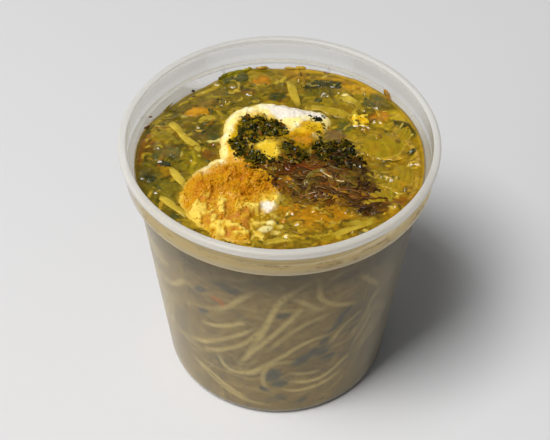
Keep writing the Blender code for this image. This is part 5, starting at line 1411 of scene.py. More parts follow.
def make_kashk():
    step = 0.40
    xs, ys = np.arange(-38.5, 20.0, step), np.arange(-44.0, 33.0, step)
    Y, X = np.meshgrid(ys, xs, indexing="ij")
    rho = np.minimum(share(BACK_CENTRE, BACK_RADII, X, Y), share(FRONT_CENTRE, FRONT_RADII, X, Y))
    Z = kashk_surface(X, Y)
    keep_v = rho < 1.12
    quads = grid_faces(len(ys), len(xs))
    quads = quads[keep_v.ravel()[quads].all(axis=1)]
    mint, yellow, pale, white, amber = stains(X, Y)
    cream, ivory = lin(255, 233, 146), lin(255, 246, 202)
    n = fbm(X / 3.0, Y / 3.0, 4.0, 4, 231)
    fine = fbm(X / 1.1, Y / 1.1, 8.0, 3, 233)
    col = mix3(cream, ivory, smooth(-0.3, 0.5, n))
    # oil soaks into the rim's inner side and around the mint
    warm = smooth(-3.9, 0.2, mint + 1.6 * n)
    col = mix3(col, lin(226, 178, 10), warm * 0.92)
    col = mix3(col, mix3(lin(224, 180, 0), lin(198, 146, 0), smooth(-0.2, 0.4, fine)), smooth(-1.2, 1.0, yellow) * 0.97)
    col = mix3(col, mix3(lin(196, 130, 0), lin(150, 112, 4), smooth(-0.1, 0.4, fine)), smooth(-1.6, 0.8, amber) * 0.95)
    stain = smooth(-1.2, 1.4, polygon_depth(MID_STAIN, X, Y) + 1.4 * n)
    col = mix3(col, mix3(lin(164, 126, 4), lin(92, 76, 8), smooth(-0.15, 0.3, fine)), stain * 0.92)
    col = mix3(col, mix3(lin(232, 192, 44), lin(248, 218, 84), smooth(-0.3, 0.4, n + 0.5 * fine)), smooth(-1.0, 0.8, pale + 1.0 * n) * 0.95)
    col = mix3(col, lin(250, 240, 222), smooth(-1.2, 0.8, white))
    col = mix3(col, lin(232, 222, 206), smooth(-1.0, 1.0, white) * smooth(16, 24, Y) * 0.5)
    smear = smooth(-0.9, 0.8, mint + 1.6 * fine - 2.5 * smooth(-0.5, 1.0, pale))
    col = mix3(col, mix3(lin(40, 42, 12), lin(84, 70, 10), smooth(-0.1, 0.5, n)), smear * 0.92)
    # the front lobe is mostly crumbly and stained by the garlic's oil
    rg = garlic_share(X, Y)
    curd = curd_noise(X, Y)
    front = smooth(-2, -12, Y) * smooth(4, -6, X) * (1 - smooth(-1.2, 0.8, white)) * (1 - 0.8 * smooth(-1.0, 0.8, pale))
    oily = mix3(lin(194, 134, 2), lin(208, 160, 16), smooth(-0.3, 0.4, fine))
    oily = mix3(oily, lin(190, 114, 0), smooth(0.1, 0.45, n) * 0.8)
    lump = mix3(lin(210, 166, 28), lin(238, 206, 84), smooth(0.12, 0.42, curd + 0.3 * fine))
    col = mix3(col, mix3(oily, lump, smooth(0.02, 0.26, curd + 0.22 * fine)), front * 0.96)
    col = mix3(col, lin(206, 140, 8), smooth(1.40, 0.95, rg + 0.35 * n) * 0.85)
    # browned onion has run over its front edge
    brown = smooth(-1.6, 1.2, polygon_depth(ONION_ALL, X, Y) + 1.6 * n)
    col = mix3(col, onion_tone(X, Y), brown * 0.85)
    # wet, yellower edge where the cream meets the broth
    col = mix3(col, lin(214, 182, 70), smooth(0.92, 1.02, rho + 0.04 * n) * 0.75)
    v = np.stack([X.ravel(), Y.ravel(), Z.ravel()], 1)
    used = np.unique(quads)
    remap = np.full(len(v), -1)
    remap[used] = np.arange(len(used))
    mat = food_material("kashk", rough=0.36, rough_vary=0.1, coat=0.03, coat_rough=0.12, spec=0.13, sss=0.12,
                        sss_radius=(1.0, 0.8, 0.4), sss_scale=0.0008, fine=1400.0, fine_amount=0.06, broad=360.0,
                        broad_amount=0.05, bump=0.40, bump_scale=800.0, bump_dist=0.0003)
    obj = mesh_object("kashk_cream", v[used], [remap[quads]], mat, col.reshape(-1, 3)[used])
    ride(obj, ("kashk",))


# --------------------------------------------------------------------------
# Dried mint fried in oil
# --------------------------------------------------------------------------
def scatter_in(rng, test, box, count):
    """Points in a box that pass test(x, y) -> 0..1, by rejection."""
    out = []
    while sum(len(o) for o in out) < count:
        x = rng.uniform(box[0], box[1], 4000)
        y = rng.uniform(box[2], box[3], 4000)
        ok = rng.random(4000) < test(x, y)
        out.append(np.stack([x[ok], y[ok]], 1))
    return np.concatenate(out)[:count]


def food_top(x, y):
    """The highest of broth, cream and the two heaps."""
    z = np.maximum(surface_z(x, y), kashk_surface(x, y))
    z = np.maximum(z, garlic_z(x, y))
    return np.maximum(z, onion_z(x, y))


def garlic_z(x, y):
    rho = garlic_share(x, y)
    rho = rho + 0.22 * fbm(x / 3.0, y / 3.0, 0, 3, 301)
    h = 1.35 * np.clip(1 - rho ** 2.6, 0, 1) ** 0.8
    lumps = 0.5 * fbm(x / 3.2, y / 3.2, 0, 3, 307) + 0.12 * (1 - 2 * np.abs(fbm(x / 1.1, y / 1.1, 0, 2, 311)))
    base = kashk_surface(x, y) - 0.35
    return np.where(rho < 1.0, base + h + lumps * smooth(1.0, 0.7, rho), base - 2.0 * (rho - 1.0) - 0.2)


def onion_z(x, y):
    rho = share(ONION_CENTRE, ONION_RADII, x, y)
    h = 2.1 * np.clip(1 - rho ** 2.0, 0, 1)
    lumps = 0.5 * fbm(x / 3.5, y / 1.8, 0, 3, 401) + 0.22 * fbm(x / 1.2, y / 0.8, 0, 2, 409)
    return np.where(rho < 1.0, soup_z(x, y) + h + lumps * smooth(1.0, 0.7, rho), soup_z(x, y) - 3.0 * (rho - 1.0))


def flake_set(pos, size, rng, colours, stand=0.35, aspect=(0.4, 0.9)):
    """Small curled flakes: 3 x 3 vertices each."""
    n = len(pos)
    g = np.array([-1.0, 0.0, 1.0])
    U, V = np.meshgrid(g, g, indexing="ij")
    U, V = U.ravel(), V.ravel()
    L = size
    W = size * rng.uniform(*aspect, n)
    lx = U[None] * (L / 2)[:, None] * (1 - 0.35 * V[None] ** 2) * rng.uniform(0.8, 1.2, (n, 9))
    ly = V[None] * (W / 2)[:, None] * (1 - 0.45 * U[None] ** 2) * rng.uniform(0.75, 1.25, (n, 9))
    curl = rng.normal(0, 0.35, n)[:, None] * L[:, None]
    lz = curl * (U[None] ** 2 - 0.5) + rng.normal(0, 0.10, (n, 9)) * L[:, None]
    yaw, pitch, roll = rng.uniform(0, 2 * math.pi, n), rng.normal(0, stand, n), rng.normal(0, stand, n)
    cy, sy, cp, sp, cr, sr = np.cos(yaw), np.sin(yaw), np.cos(pitch), np.sin(pitch), np.cos(roll), np.sin(roll)
    x1 = lx * cp[:, None] + lz * sp[:, None]
    z1 = -lx * sp[:, None] + lz * cp[:, None]
    y2 = ly * cr[:, None] - z1 * sr[:, None]
    z2 = ly * sr[:, None] + z1 * cr[:, None]
    X = x1 * cy[:, None] - y2 * sy[:, None] + pos[:, 0:1]
    Y = x1 * sy[:, None] + y2 * cy[:, None] + pos[:, 1:2]
    Z = z2 + pos[:, 2:3]
    v = np.stack([X, Y, Z], -1).reshape(-1, 3)
    q = grid_faces(3, 3)
    f = (q[None] + (np.arange(n) * 9)[:, None, None]).reshape(-1, 4)
    c = np.repeat(colours, 9, axis=0) * rng.uniform(0.85, 1.15, (n * 9, 1))
    return v, f, c


def make_mint(rng):
    polys = (MINT_MAIN, MINT_LOW, MINT_MID, MINT_RIGHT, MINT_TIP, MINT_TOP)
    dens = (0.95, 0.8, 0.45, 0.75, 0.22, 0.35)

    def test(x, y):
        w = 1.8 * fbm(x / 2.2, y / 2.2, 7.0, 3, 221)
        best = np.zeros(x.shape)
        for p, d in zip(polys, dens):
            best = np.maximum(best, d * smooth(-0.8, 1.6, polygon_depth(p, x, y) + w))
        clump = 0.12 + 0.88 * smooth(-0.16, 0.22, fbm(x / 2.3, y / 1.9, 3.0, 2, 501))
        curd = smooth(-0.6, 1.2, np.maximum.reduce([polygon_depth(p, x, y) for p in PALE_YELLOW[:1] + YELLOW[:1]]))
        gap = smooth(-1.2, 0.8, polygon_depth(MINT_GAP, x, y))
        return best * clump * (1 - 0.9 * curd) * (1 - 0.8 * gap)

    main = scatter_in(rng, test, (-21, 33, -11, 26), 1650)

    def stray(x, y):
        near = np.maximum.reduce([polygon_depth(p, x, y) for p in polys])
        return 0.5 * smooth(-4.5, -0.5, near) * (near < 0)

    loose = scatter_in(rng, stray, (-24, 36, -14, 28), 150)
    wide = []
    while len(wide) < 60:
        a, q = rng.uniform(0, 2 * math.pi), 51 * math.sqrt(rng.random())
        wide.append((q * math.cos(a), q * math.sin(a)))
    xy = np.concatenate([main, loose, np.array(wide)])
    n = len(xy)
    z = food_top(xy[:, 0], xy[:, 1]) + np.r_[rng.uniform(-0.18, 0.30, len(main)), rng.uniform(-0.12, 0.10, n - len(main))]
    pos = np.column_stack([xy, z])
    size = np.r_[rng.uniform(0.45, 1.0, len(main)) ** 2 * 3.8, rng.uniform(0.4, 1.1, n - len(main))]
    pal = np.array([lin(46, 46, 8), lin(62, 58, 8), lin(92, 80, 8), lin(136, 112, 12), lin(26, 30, 16), lin(108, 68, 6)])
    cols = pal[rng.choice(6, n, p=[0.23, 0.24, 0.19, 0.14, 0.11, 0.09])]
    cols = cols * (1 - 0.45 * smooth(12.0, 20.0, xy[:, 0]))[:, None]
    v, f, c = flake_set(pos, size, rng, cols, stand=0.22)
    mat = food_material("mint", rough=0.24, rough_vary=0.12, coat=0.08, coat_rough=0.10, spec=0.20, fine=2500.0,
                        fine_amount=0.25, broad=700.0, broad_amount=0.2)
    obj = mesh_object("mint_flakes", v, [f], mat, c)
    ride(obj)


# --------------------------------------------------------------------------
# Fried garlic: a relief core with loose grains over it
# --------------------------------------------------------------------------
def icosphere():
    t = (1 + 5 ** 0.5) / 2
    v = np.array([(-1, t, 0), (1, t, 0), (-1, -t, 0), (1, -t, 0), (0, -1, t), (0, 1, t), (0, -1, -t), (0, 1, -t),
                  (t, 0, -1), (t, 0, 1), (-t, 0, -1), (-t, 0, 1)], float)
    f = np.array([(0, 11, 5), (0, 5, 1), (0, 1, 7), (0, 7, 10), (0, 10, 11), (1, 5, 9), (5, 11, 4), (11, 10, 2), (10, 7, 6),
                  (7, 1, 8), (3, 9, 4), (3, 4, 2), (3, 2, 6), (3, 6, 8), (3, 8, 9), (4, 9, 5), (2, 4, 11), (6, 2, 10),
                  (8, 6, 7), (9, 8, 1)])
    return v / np.linalg.norm(v, axis=1, keepdims=True), f


def icosphere2():
    v, f = icosphere()
    verts, index, faces = [tuple(p) for p in v], {}, []

    def mid(a, b):
        key = (min(a, b), max(a, b))
        if key not in index:
            m = (np.array(verts[a]) + np.array(verts[b])) / 2
            verts.append(tuple(m / np.linalg.norm(m)))
            index[key] = len(verts) - 1
        return index[key]

    for a, b, c in f:
        ab, bc, ca = mid(a, b), mid(b, c), mid(c, a)
        faces += [(a, ab, ca), (b, bc, ab), (c, ca, bc), (ab, bc, ca)]
    return np.array(verts), np.array(faces)


def grains(pos, size, rng, colours, fine=True, squash=(0.5, 1.0), jitter=0.16):
    v0, f0 = icosphere2() if fine else icosphere()
    n, m = len(pos), len(v0)
    amp = 1 + rng.normal(0, jitter, (n, m))
    sc = np.stack([size * rng.uniform(0.7, 1.3, n), size * rng.uniform(0.6, 1.1, n), size * rng.uniform(*squash, n)], 1) / 2
    loc = v0[None] * amp[..., None] * sc[:, None, :]
    q = rng.normal(size=(n, 4))
    q[:, 1:3] *= 0.6
    q /= np.linalg.norm(q, axis=1, keepdims=True)
    w, x, y, z = q.T
    M = np.stack([np.stack([1 - 2 * (y * y + z * z), 2 * (x * y - w * z), 2 * (x * z + w * y)], -1),
                  np.stack([2 * (x * y + w * z), 1 - 2 * (x * x + z * z), 2 * (y * z - w * x)], -1),
                  np.stack([2 * (x * z - w * y), 2 * (y * z + w * x), 1 - 2 * (x * x + y * y)], -1)], 1)
    v = np.einsum("nij,nmj->nmi", M, loc) + pos[:, None, :]
    f = (f0[None] + (np.arange(n) * m)[:, None, None]).reshape(-1, 3)
    c = np.repeat(colours, m, axis=0) * rng.uniform(0.94, 1.06, (n * m, 1))
    return v.reshape(-1, 3), f, c


def make_garlic(rng):
    step = 0.34
    xs, ys = np.arange(-38.0, 1.5, step), np.arange(-27.0, 0.5, step)
    Y, X = np.meshgrid(ys, xs, indexing="ij")
    rho = garlic_share(X, Y)
    Z = garlic_z(X, Y)
    quads = grid_faces(len(ys), len(xs))
    quads = quads[(rho < 1.20).ravel()[quads].all(axis=1)]
    n = fbm(X / 1.0, Y / 1.0, 3.0, 3, 321)
    n2 = fbm(X / 4.0, Y / 4.0, 5.0, 3, 327)
    deep, mid, gold = lin(182, 106, 0), lin(202, 134, 1), lin(216, 156, 12)
    col = mix3(mid, gold, smooth(-0.2, 0.5, n) * 0.6)
    col = mix3(col, deep, smooth(0.0, 0.5, -n2) * 0.7)
    col = mix3(col, lin(228, 176, 62), smooth(0.72, 1.0, rho + 0.12 * n2) * 0.8)
    v = np.stack([X.ravel(), Y.ravel(), Z.ravel()], 1)
    used = np.unique(quads)
    remap = np.full(len(v), -1)
    remap[used] = np.arange(len(used))
    core = food_material("garlic_core", rough=0.42, coat=0.2, coat_rough=0.12, sss=0.2, sss_scale=0.001, fine=1900.0,
                         fine_amount=0.14, broad=700.0, broad_amount=0.10, bump=0.5, bump_scale=1400.0, bump_dist=0.0003)
    obj = mesh_object("garlic_core", v[used], [remap[quads]], core, col.reshape(-1, 3)[used])
    ride(obj, ("garlic_heap",))

    def on_heap(x, y):
        r = garlic_share(x, y) + 0.22 * fbm(x / 3, y / 3, 0, 3, 301) + 0.5 * fbm(x / 4.5, y / 4.5, 4, 2, 305) * smooth(-15, -20, y)
        return smooth(1.30, 0.75, r)

    def pale_zone(x, y):
        d = polygon_depth(GARLIC_PALE, x, y) + 2.0 * fbm(x / 3, y / 3, 0, 2, 331)
        clump = smooth(-0.1, 0.35, fbm(x / 2.3, y / 2.3, 0, 2, 333)) * smooth(0.30, -0.02, curd_noise(x, y))
        clean = smooth(-1.4, 0.2, polygon_depth(WHITE[1], x, y))
        return smooth(-1.5, 1.0, d) * (0.08 + 0.92 * clump) * (1 - clean)

    a = scatter_in(rng, on_heap, (-38, 2, -30, 1), 3900)
    b = scatter_in(rng, pale_zone, (-37, 0, -45, -19), 420)
    za = np.maximum(garlic_z(a[:, 0], a[:, 1]), kashk_surface(a[:, 0], a[:, 1])) + rng.uniform(-0.34, -0.04, len(a))
    zb = np.maximum(kashk_surface(b[:, 0], b[:, 1]), surface_z(b[:, 0], b[:, 1])) + rng.uniform(-0.24, 0.04, len(b))
    pos = np.concatenate([np.column_stack([a, za]), np.column_stack([b, zb])])
    size = np.r_[0.40 + 1.10 * rng.random(len(a)) ** 2.0, 0.40 + 1.1 * rng.random(len(b)) ** 2.0]
    ra = garlic_share(a[:, 0], a[:, 1])
    tone = fbm(a[:, 0] / 4.0, a[:, 1] / 4.0, 5.0, 3, 327)
    pal = np.array([lin(200, 130, 0), lin(204, 137, 1), lin(196, 123, 0), lin(210, 147, 6), lin(188, 113, 0)])
    ca = pal[rng.choice(5, len(a), p=[0.38, 0.28, 0.20, 0.10, 0.04])]
    ca = mix3(ca, lin(196, 116, 0), smooth(0.0, 0.45, -tone) * 0.6)
    ca = mix3(ca, lin(224, 170, 20), smooth(0.0, 0.45, tone) * 0.45)
    ca = mix3(ca, lin(232, 184, 40), smooth(0.70, 1.10, ra) * rng.uniform(0, 0.9, len(a)))
    pal2 = np.array([lin(218, 168, 34), lin(210, 150, 18), lin(200, 132, 6), lin(234, 198, 84), lin(124, 52, 10)])
    cb = pal2[rng.choice(5, len(b), p=[0.285, 0.285, 0.30, 0.122, 0.008])]
    v, f, c = grains(pos, size, rng, np.concatenate([ca, cb]), fine=False, squash=(0.32, 0.58), jitter=0.11)
    mat = food_material("garlic_grain", rough=0.36, coat=0.08, coat_rough=0.1, spec=0.2, sss=0.3, sss_scale=0.0008, fine=2600.0,
                        fine_amount=0.16, broad=900.0, broad_amount=0.1)
    obj = mesh_object("garlic_grains", v, [f], mat, c)
    ride(obj)


# --------------------------------------------------------------------------
# Browned onion: a low core and glossy shreds over it
# --------------------------------------------------------------------------
ONION_TONES = [                       # outline, colour of the onion there
    ([(15, 7.4), (19.4, 10), (24, 10.1), (28.6, 5.3), (30.4, 0.0), (30.6, -3.4), (23.1, -5.6), (17.3, 0.4)], lin(24, 20, 16)),
    ([(-2.3, -7.3), (2.5, -2.9), (6.8, 0), (11.4, 0.6), (15.6, -0.7), (13.9, -5.1), (6.8, -4.3)], lin(122, 54, 12)),
    ([(-3.3, -9.2), (4.2, -9), (5.8, -13.6), (1, -16.6), (-5, -14)], lin(156, 92, 12)),
    ([(9, -13.6), (9.4, -10.8), (12, -7), (14.6, -5.5), (15.9, -8.8), (13.9, -13.5)], lin(102, 84, 28)),
    ([(21.3, -10.5), (25.3, -7.2), (29.9, -6.6), (28.5, -10.4), (23.5, -13.2)], lin(110, 94, 20)),
    ([(6, -18.6), (10.6, -16.7), (17, -16.1), (23.5, -15), (29.9, -15.3), (29.9, -17.8), (23.5, -17.6), (17, -18.6),
      (10.6, -19.4), (6.5, -21)], lin(106, 66, 24)),
    ([(22, -21), (28.1, -21.3), (33.5, -22.8), (37, -26.4), (34, -28.6), (29, -25.6), (23, -24)], lin(78, 50, 16)),
    ([(14, -19.5), (20.2, -18.4), (22, -21), (14, -23), (7, -23)], lin(156, 106, 16))]


def onion_tone(x, y):
    """Colour of the browned onion: amber where it meets the cream, red-brown
    behind, nearly black at the back right, gold where it thins out."""
    x, y = np.asarray(x, float), np.asarray(y, float)
    col = np.zeros(x.shape + (3,)) + lin(88, 54, 16)
    wob = 1.0 * fbm(x / 2.6, y / 1.8, 5.0, 3, 433)
    for poly, c in ONION_TONES:
        col = mix3(col, c, smooth(-1.4, 1.4, polygon_depth(poly, x, y) + wob) * 0.95)
    rho = share(ONION_CENTRE, ONION_RADII, x, y) + 0.12 * fbm(x / 2.4, y / 2.0, 2.0, 3, 437)
    return mix3(col, lin(150, 108, 14), smooth(0.80, 1.05, rho) * smooth(-14.0, -19.0, y) * smooth(30.0, 20.0, x) * 0.8)


def make_onion(rng):
    step = 0.42
    xs, ys = np.arange(-1.5, 37.0, step), np.arange(-26.0, 10.0, step)
    Y, X = np.meshgrid(ys, xs, indexing="ij")
    rho = share(ONION_CENTRE, ONION_RADII, X, Y)
    Z = onion_z(X, Y)
    quads = grid_faces(len(ys), len(xs))
    quads = quads[(rho < 1.12).ravel()[quads].all(axis=1)]
    n = fbm(X / 3.2, Y / 0.9, 3.0, 3, 421)
    col = onion_tone(X, Y) * (1 + 0.55 * n)[..., None]
    v = np.stack([X.ravel(), Y.ravel(), Z.ravel()], 1)
    used = np.unique(quads)
    remap = np.full(len(v), -1)
    remap[used] = np.arange(len(used))
    mat = food_material("onion_core", rough=0.24, coat=0.15, coat_rough=0.08, spec=0.25, fine=1600.0, fine_amount=0.2,
                        broad=500.0, broad_amount=0.2, bump=0.35, bump_scale=900.0)
    obj = mesh_object("onion_core", v[used], [remap[quads]], mat, col.reshape(-1, 3)[used])
    ride(obj, ("onion_heap",))

    def shred(bag, points, hw, ht, lift, colour=None, sides=8, wob=0.35, twist=0.4, edge=1.3, gloss=1.0, ends=0.9):
        """A flat ribbon of onion: browned on its face, clearer at its edges, which are also painted paler as a
        highlight.
        """
        path = spline(points, 0.5)
        n = len(path)
        s = np.arange(n) * 0.5
        sd = rng.uniform(0, 100)
        path = path + 0.4 * np.stack([vnoise(s / 5, sd, 0, 3), vnoise(s / 5, sd, 7, 3)], 1)
        r = np.hypot(path[:, 0], path[:, 1])
        path *= np.minimum(1.0, 50.8 / np.maximum(r, 1e-6))[:, None]
        x, y = path[:, 0], path[:, 1]
        z = np.maximum(np.maximum(surface_z(x, y), onion_z(x, y)), kashk_surface(x, y))
        k = 3
        z = np.convolve(np.pad(z, k, mode="edge"), np.ones(2 * k + 1) / (2 * k + 1), mode="valid")
        z = z + lift + wob * vnoise(s / 6.0, sd, 3, 5)
        t = np.linspace(0, 1, n)
        z -= np.maximum(0, 1 - np.minimum(t, 1 - t) / 0.2) ** 2 * ends
        P = np.column_stack([path, z])
        side, up = path_frames(P)
        tw = twist * vnoise(s / 6.0, sd, 11, 9) + 0.25 * twist * rng.normal()
        s2 = side * np.cos(tw)[:, None] + up * np.sin(tw)[:, None]
        u2 = np.cross(s2, np.gradient(P, axis=0))
        u2 /= np.linalg.norm(u2, axis=1, keepdims=True) + 1e-9
        w = hw * (1 + 0.35 * vnoise(s / 3.0, sd, 5, 11))
        v, f = sweep(P, w, ht, s2, u2, sides=sides, squareness=2.0)
        tone = 1.0 + 0.45 * vnoise(v[:, 0] / 1.4, v[:, 1] / 0.8, sd, 13) + 0.2 * vnoise(v[:, 0] / 0.5, v[:, 1] / 0.5, sd, 15)
        base = onion_tone(v[:, 0], v[:, 1]) * rng.uniform(0.75, 1.35) if colour is None else np.asarray(colour)[None, :] + 0 * v
        c = base * tone[:, None]
        # painted highlight: the two side edges of the ribbon are made paler
        ring = np.arange(len(v)) % sides
        highlit_edge = ((ring == 0) | (ring == sides // 2)) & (np.arange(len(v)) < len(v) - 2)
        c[highlit_edge] = np.clip(c[highlit_edge] * edge + 0.012, 0, 1)
        bag.add(v, f, np.clip(c, 0, 1))

    bag = Bag()
    # ribbons lying over the middle, mostly left to right
    kinds = [lin(52, 34, 16), lin(96, 60, 18), lin(124, 64, 14), lin(112, 92, 30), lin(158, 114, 28)]
    for i in range(250):
        for _ in range(80):
            x0, y0 = rng.uniform(-12, 38), rng.uniform(-29, 4)
            q = float(share(ONION_CENTRE, ONION_RADII, x0, y0))
            if q < 0.9 or (float(polygon_depth(ONION_ALL, x0, y0)) > 0.3 and rng.random() < 0.6):
                break
        ang = rng.normal(-0.12, 0.45) if rng.random() < 0.8 else rng.uniform(0, math.pi)
        ln = rng.uniform(3, 11)
        pts = bent_path(x0, y0, ang, rng.normal(0, 0.09), ln, wig=0.35, rng=rng)
        tone = 0.55 * onion_tone(x0, y0) + 0.45 * kinds[rng.choice(5, p=[0.36, 0.24, 0.12, 0.16, 0.12])]
        shred(bag, pts, rng.uniform(0.4, 1.6) * (0.65 if ln > 8 else 1.0), rng.uniform(0.10, 0.17), rng.uniform(-0.14, 0.36),
              colour=tone * rng.uniform(0.45, 1.35) * np.array([0.94, 1.0, 0.8]), edge=1.3)
    # clearer, paler pieces and fine fibres that are traced over the heap; two of them are a painted glint
    for pts, hw, c, lift in [
            ([(9, -13.6), (9.6, -10.8), (12, -7.4), (14.2, -5.9)], 0.24, lin(146, 128, 74), 0.62),
            ([(10.2, -13.0), (11.4, -10.0), (13.6, -8.2)], 0.9, lin(108, 92, 32), 0.30),
            # these two palest fibres, from (14.8, -7.6) to (24.4, -12.0), are a painted glint
            ([(14.8, -7.6), (17.0, -9.8), (19.4, -11.2)], 0.34, lin(190, 160, 92), 0.72),
            ([(20.4, -11.6), (22.6, -12.2), (24.4, -12.0)], 0.30, lin(204, 176, 120), 0.60),
            ([(6.5, -19.6), (10.6, -17.7), (15, -17.3)], 0.34, lin(132, 92, 48), 0.45),
            ([(19.0, -16.7), (23.5, -16), (29.9, -16.3)], 0.40, lin(122, 80, 40), 0.42),
            ([(8.1, -21.8), (13.8, -20.8), (18.2, -20.3)], 0.36, lin(128, 90, 36), 0.35),
            ([(17.6, -3.6), (21.0, -5.4), (24.2, -5.8)], 0.30, lin(128, 106, 58), 0.55),
            ([(21.0, -8.0), (24.5, -6.6), (29.4, -6.4)], 1.0, lin(116, 98, 24), 0.22),
            ([(23.0, -12.0), (26.6, -10.4), (30.0, -10.4)], 0.9, lin(108, 88, 22), 0.22),
            ([(12.4, -15.6), (16.0, -14.6), (19.6, -15.2)], 0.28, lin(110, 84, 48), 0.5)]:
        shred(bag, pts, hw, 0.12, lift, colour=c, wob=0.15, twist=0.25, edge=1.15)
    for i in range(34):
        x0, y0 = rng.uniform(2, 32), rng.uniform(-20, 0)
        pts = bent_path(x0, y0, rng.normal(-0.1, 0.7), rng.normal(0, 0.2), rng.uniform(2, 6), wig=0.2, rng=rng)
        shred(bag, pts, rng.uniform(0.16, 0.34), 0.12, rng.uniform(0.15, 0.5), colour=lin(150, 116, 52) * rng.uniform(0.35, 0.9),
              sides=6, edge=1.1)
    # nearly black scraps of mint and burnt onion at the back right and below right
    for pts in ([(23.3, -22.2), (28.1, -22.5), (32.8, -24.2), (35.9, -27.2)], [(24.0, -19.6), (29.0, -19.4), (33.6, -21.0)],
                [(27.0, -25.0), (31.4, -26.4), (34.0, -29.0)], [(30.4, -17.4), (34.6, -19.4), (37.4, -23.0)],
                [(16.0, 5.4), (20.0, 6.4), (25.0, 4.6)], [(18.0, 1.0), (22.4, 0.2), (27.4, -1.6)],
                [(22.0, 8.0), (25.8, 6.8), (28.4, 3.0)], [(14.0, -1.6), (18.0, -2.6), (23.0, -2.8)]):
        back = pts[0][1] > -5
        shred(bag, pts, rng.uniform(0.5, 1.0), 0.12, rng.uniform(0.1, 0.35) if back else rng.uniform(-0.1, 0.1),
              colour=lin(34, 26, 16) if back else lin(70, 42, 16), wob=0.2, edge=1.2 if back else 1.5)
    mat = food_material("onion_shred", rough=0.19, rough_vary=0.07, coat=0.18, coat_rough=0.05, spec=0.24, sss=0.0,
                        fine=1800.0, fine_amount=0.14, broad=600.0, broad_amount=0.15)
    obj = bag.build("onion_shreds", mat)
    ride(obj)

    # soft golden shreds in the broth, thickest on the right and in front
    bag2 = Bag()
    gold = [lin(156, 126, 20), lin(170, 134, 26), lin(140, 108, 16), lin(124, 102, 22), lin(178, 140, 36)]
    count = 0
    while count < 120:
        x0, y0 = open_spot(rng, 50.0)
        want = smooth(-12, 22, x0 * 0.9 - y0 * 0.35)
        if rng.random() > 0.10 + 0.90 * want:
            continue
        pts = bent_path(x0, y0, rng.normal(0.2, 0.55), rng.normal(0, 0.07), rng.uniform(4, 13), wig=0.25, rng=rng)
        shred(bag2, pts, rng.uniform(0.4, 1.5), rng.uniform(0.10, 0.20), rng.uniform(-0.28, 0.05), colour=gold[rng.integers(0, 5)] * rng.uniform(0.85, 1.15),
              wob=0.2, twist=0.3, edge=1.15, ends=0.6)
        count += 1
    # the long ones by the wall on the right
    for pts, hw, c in [([(33.0, -9.4), (37.0, -7.6), (41.4, -8.6), (44.4, -12.0)], 0.35, lin(196, 160, 60)),
                       ([(31.0, -14.4), (36.4, -12.4), (41.4, -13.8), (44.0, -17.0)], 0.5, lin(176, 142, 40)),
                       ([(46.0, -3.0), (48.4, -8.0), (47.4, -14.0)], 0.6, lin(170, 134, 30)),
                       ([(30.0, -20.4), (35.0, -18.0), (40.4, -18.6)], 0.7, lin(150, 108, 24)),
                       ([(33.0, -30.0), (37.4, -26.6), (41.0, -22.4)], 0.6, lin(168, 132, 30)),
                       ([(44.0, 12.0), (46.8, 7.4), (47.0, 1.6)], 0.5, lin(150, 122, 26))]:
        shred(bag2, pts, hw, 0.16, 0.06, colour=c, wob=0.15, twist=0.25, edge=1.15, ends=0.6)
    mat2 = food_material("onion_soft_shred", rough=0.15, rough_vary=0.06, coat=0.3, coat_rough=0.06, spec=0.4, sss=0.2,
                         sss_scale=0.001, fine=1500.0, fine_amount=0.10, broad=450.0, broad_amount=0.12)
    obj = bag2.build("onion_gold_shreds", mat2)
    ride(obj)


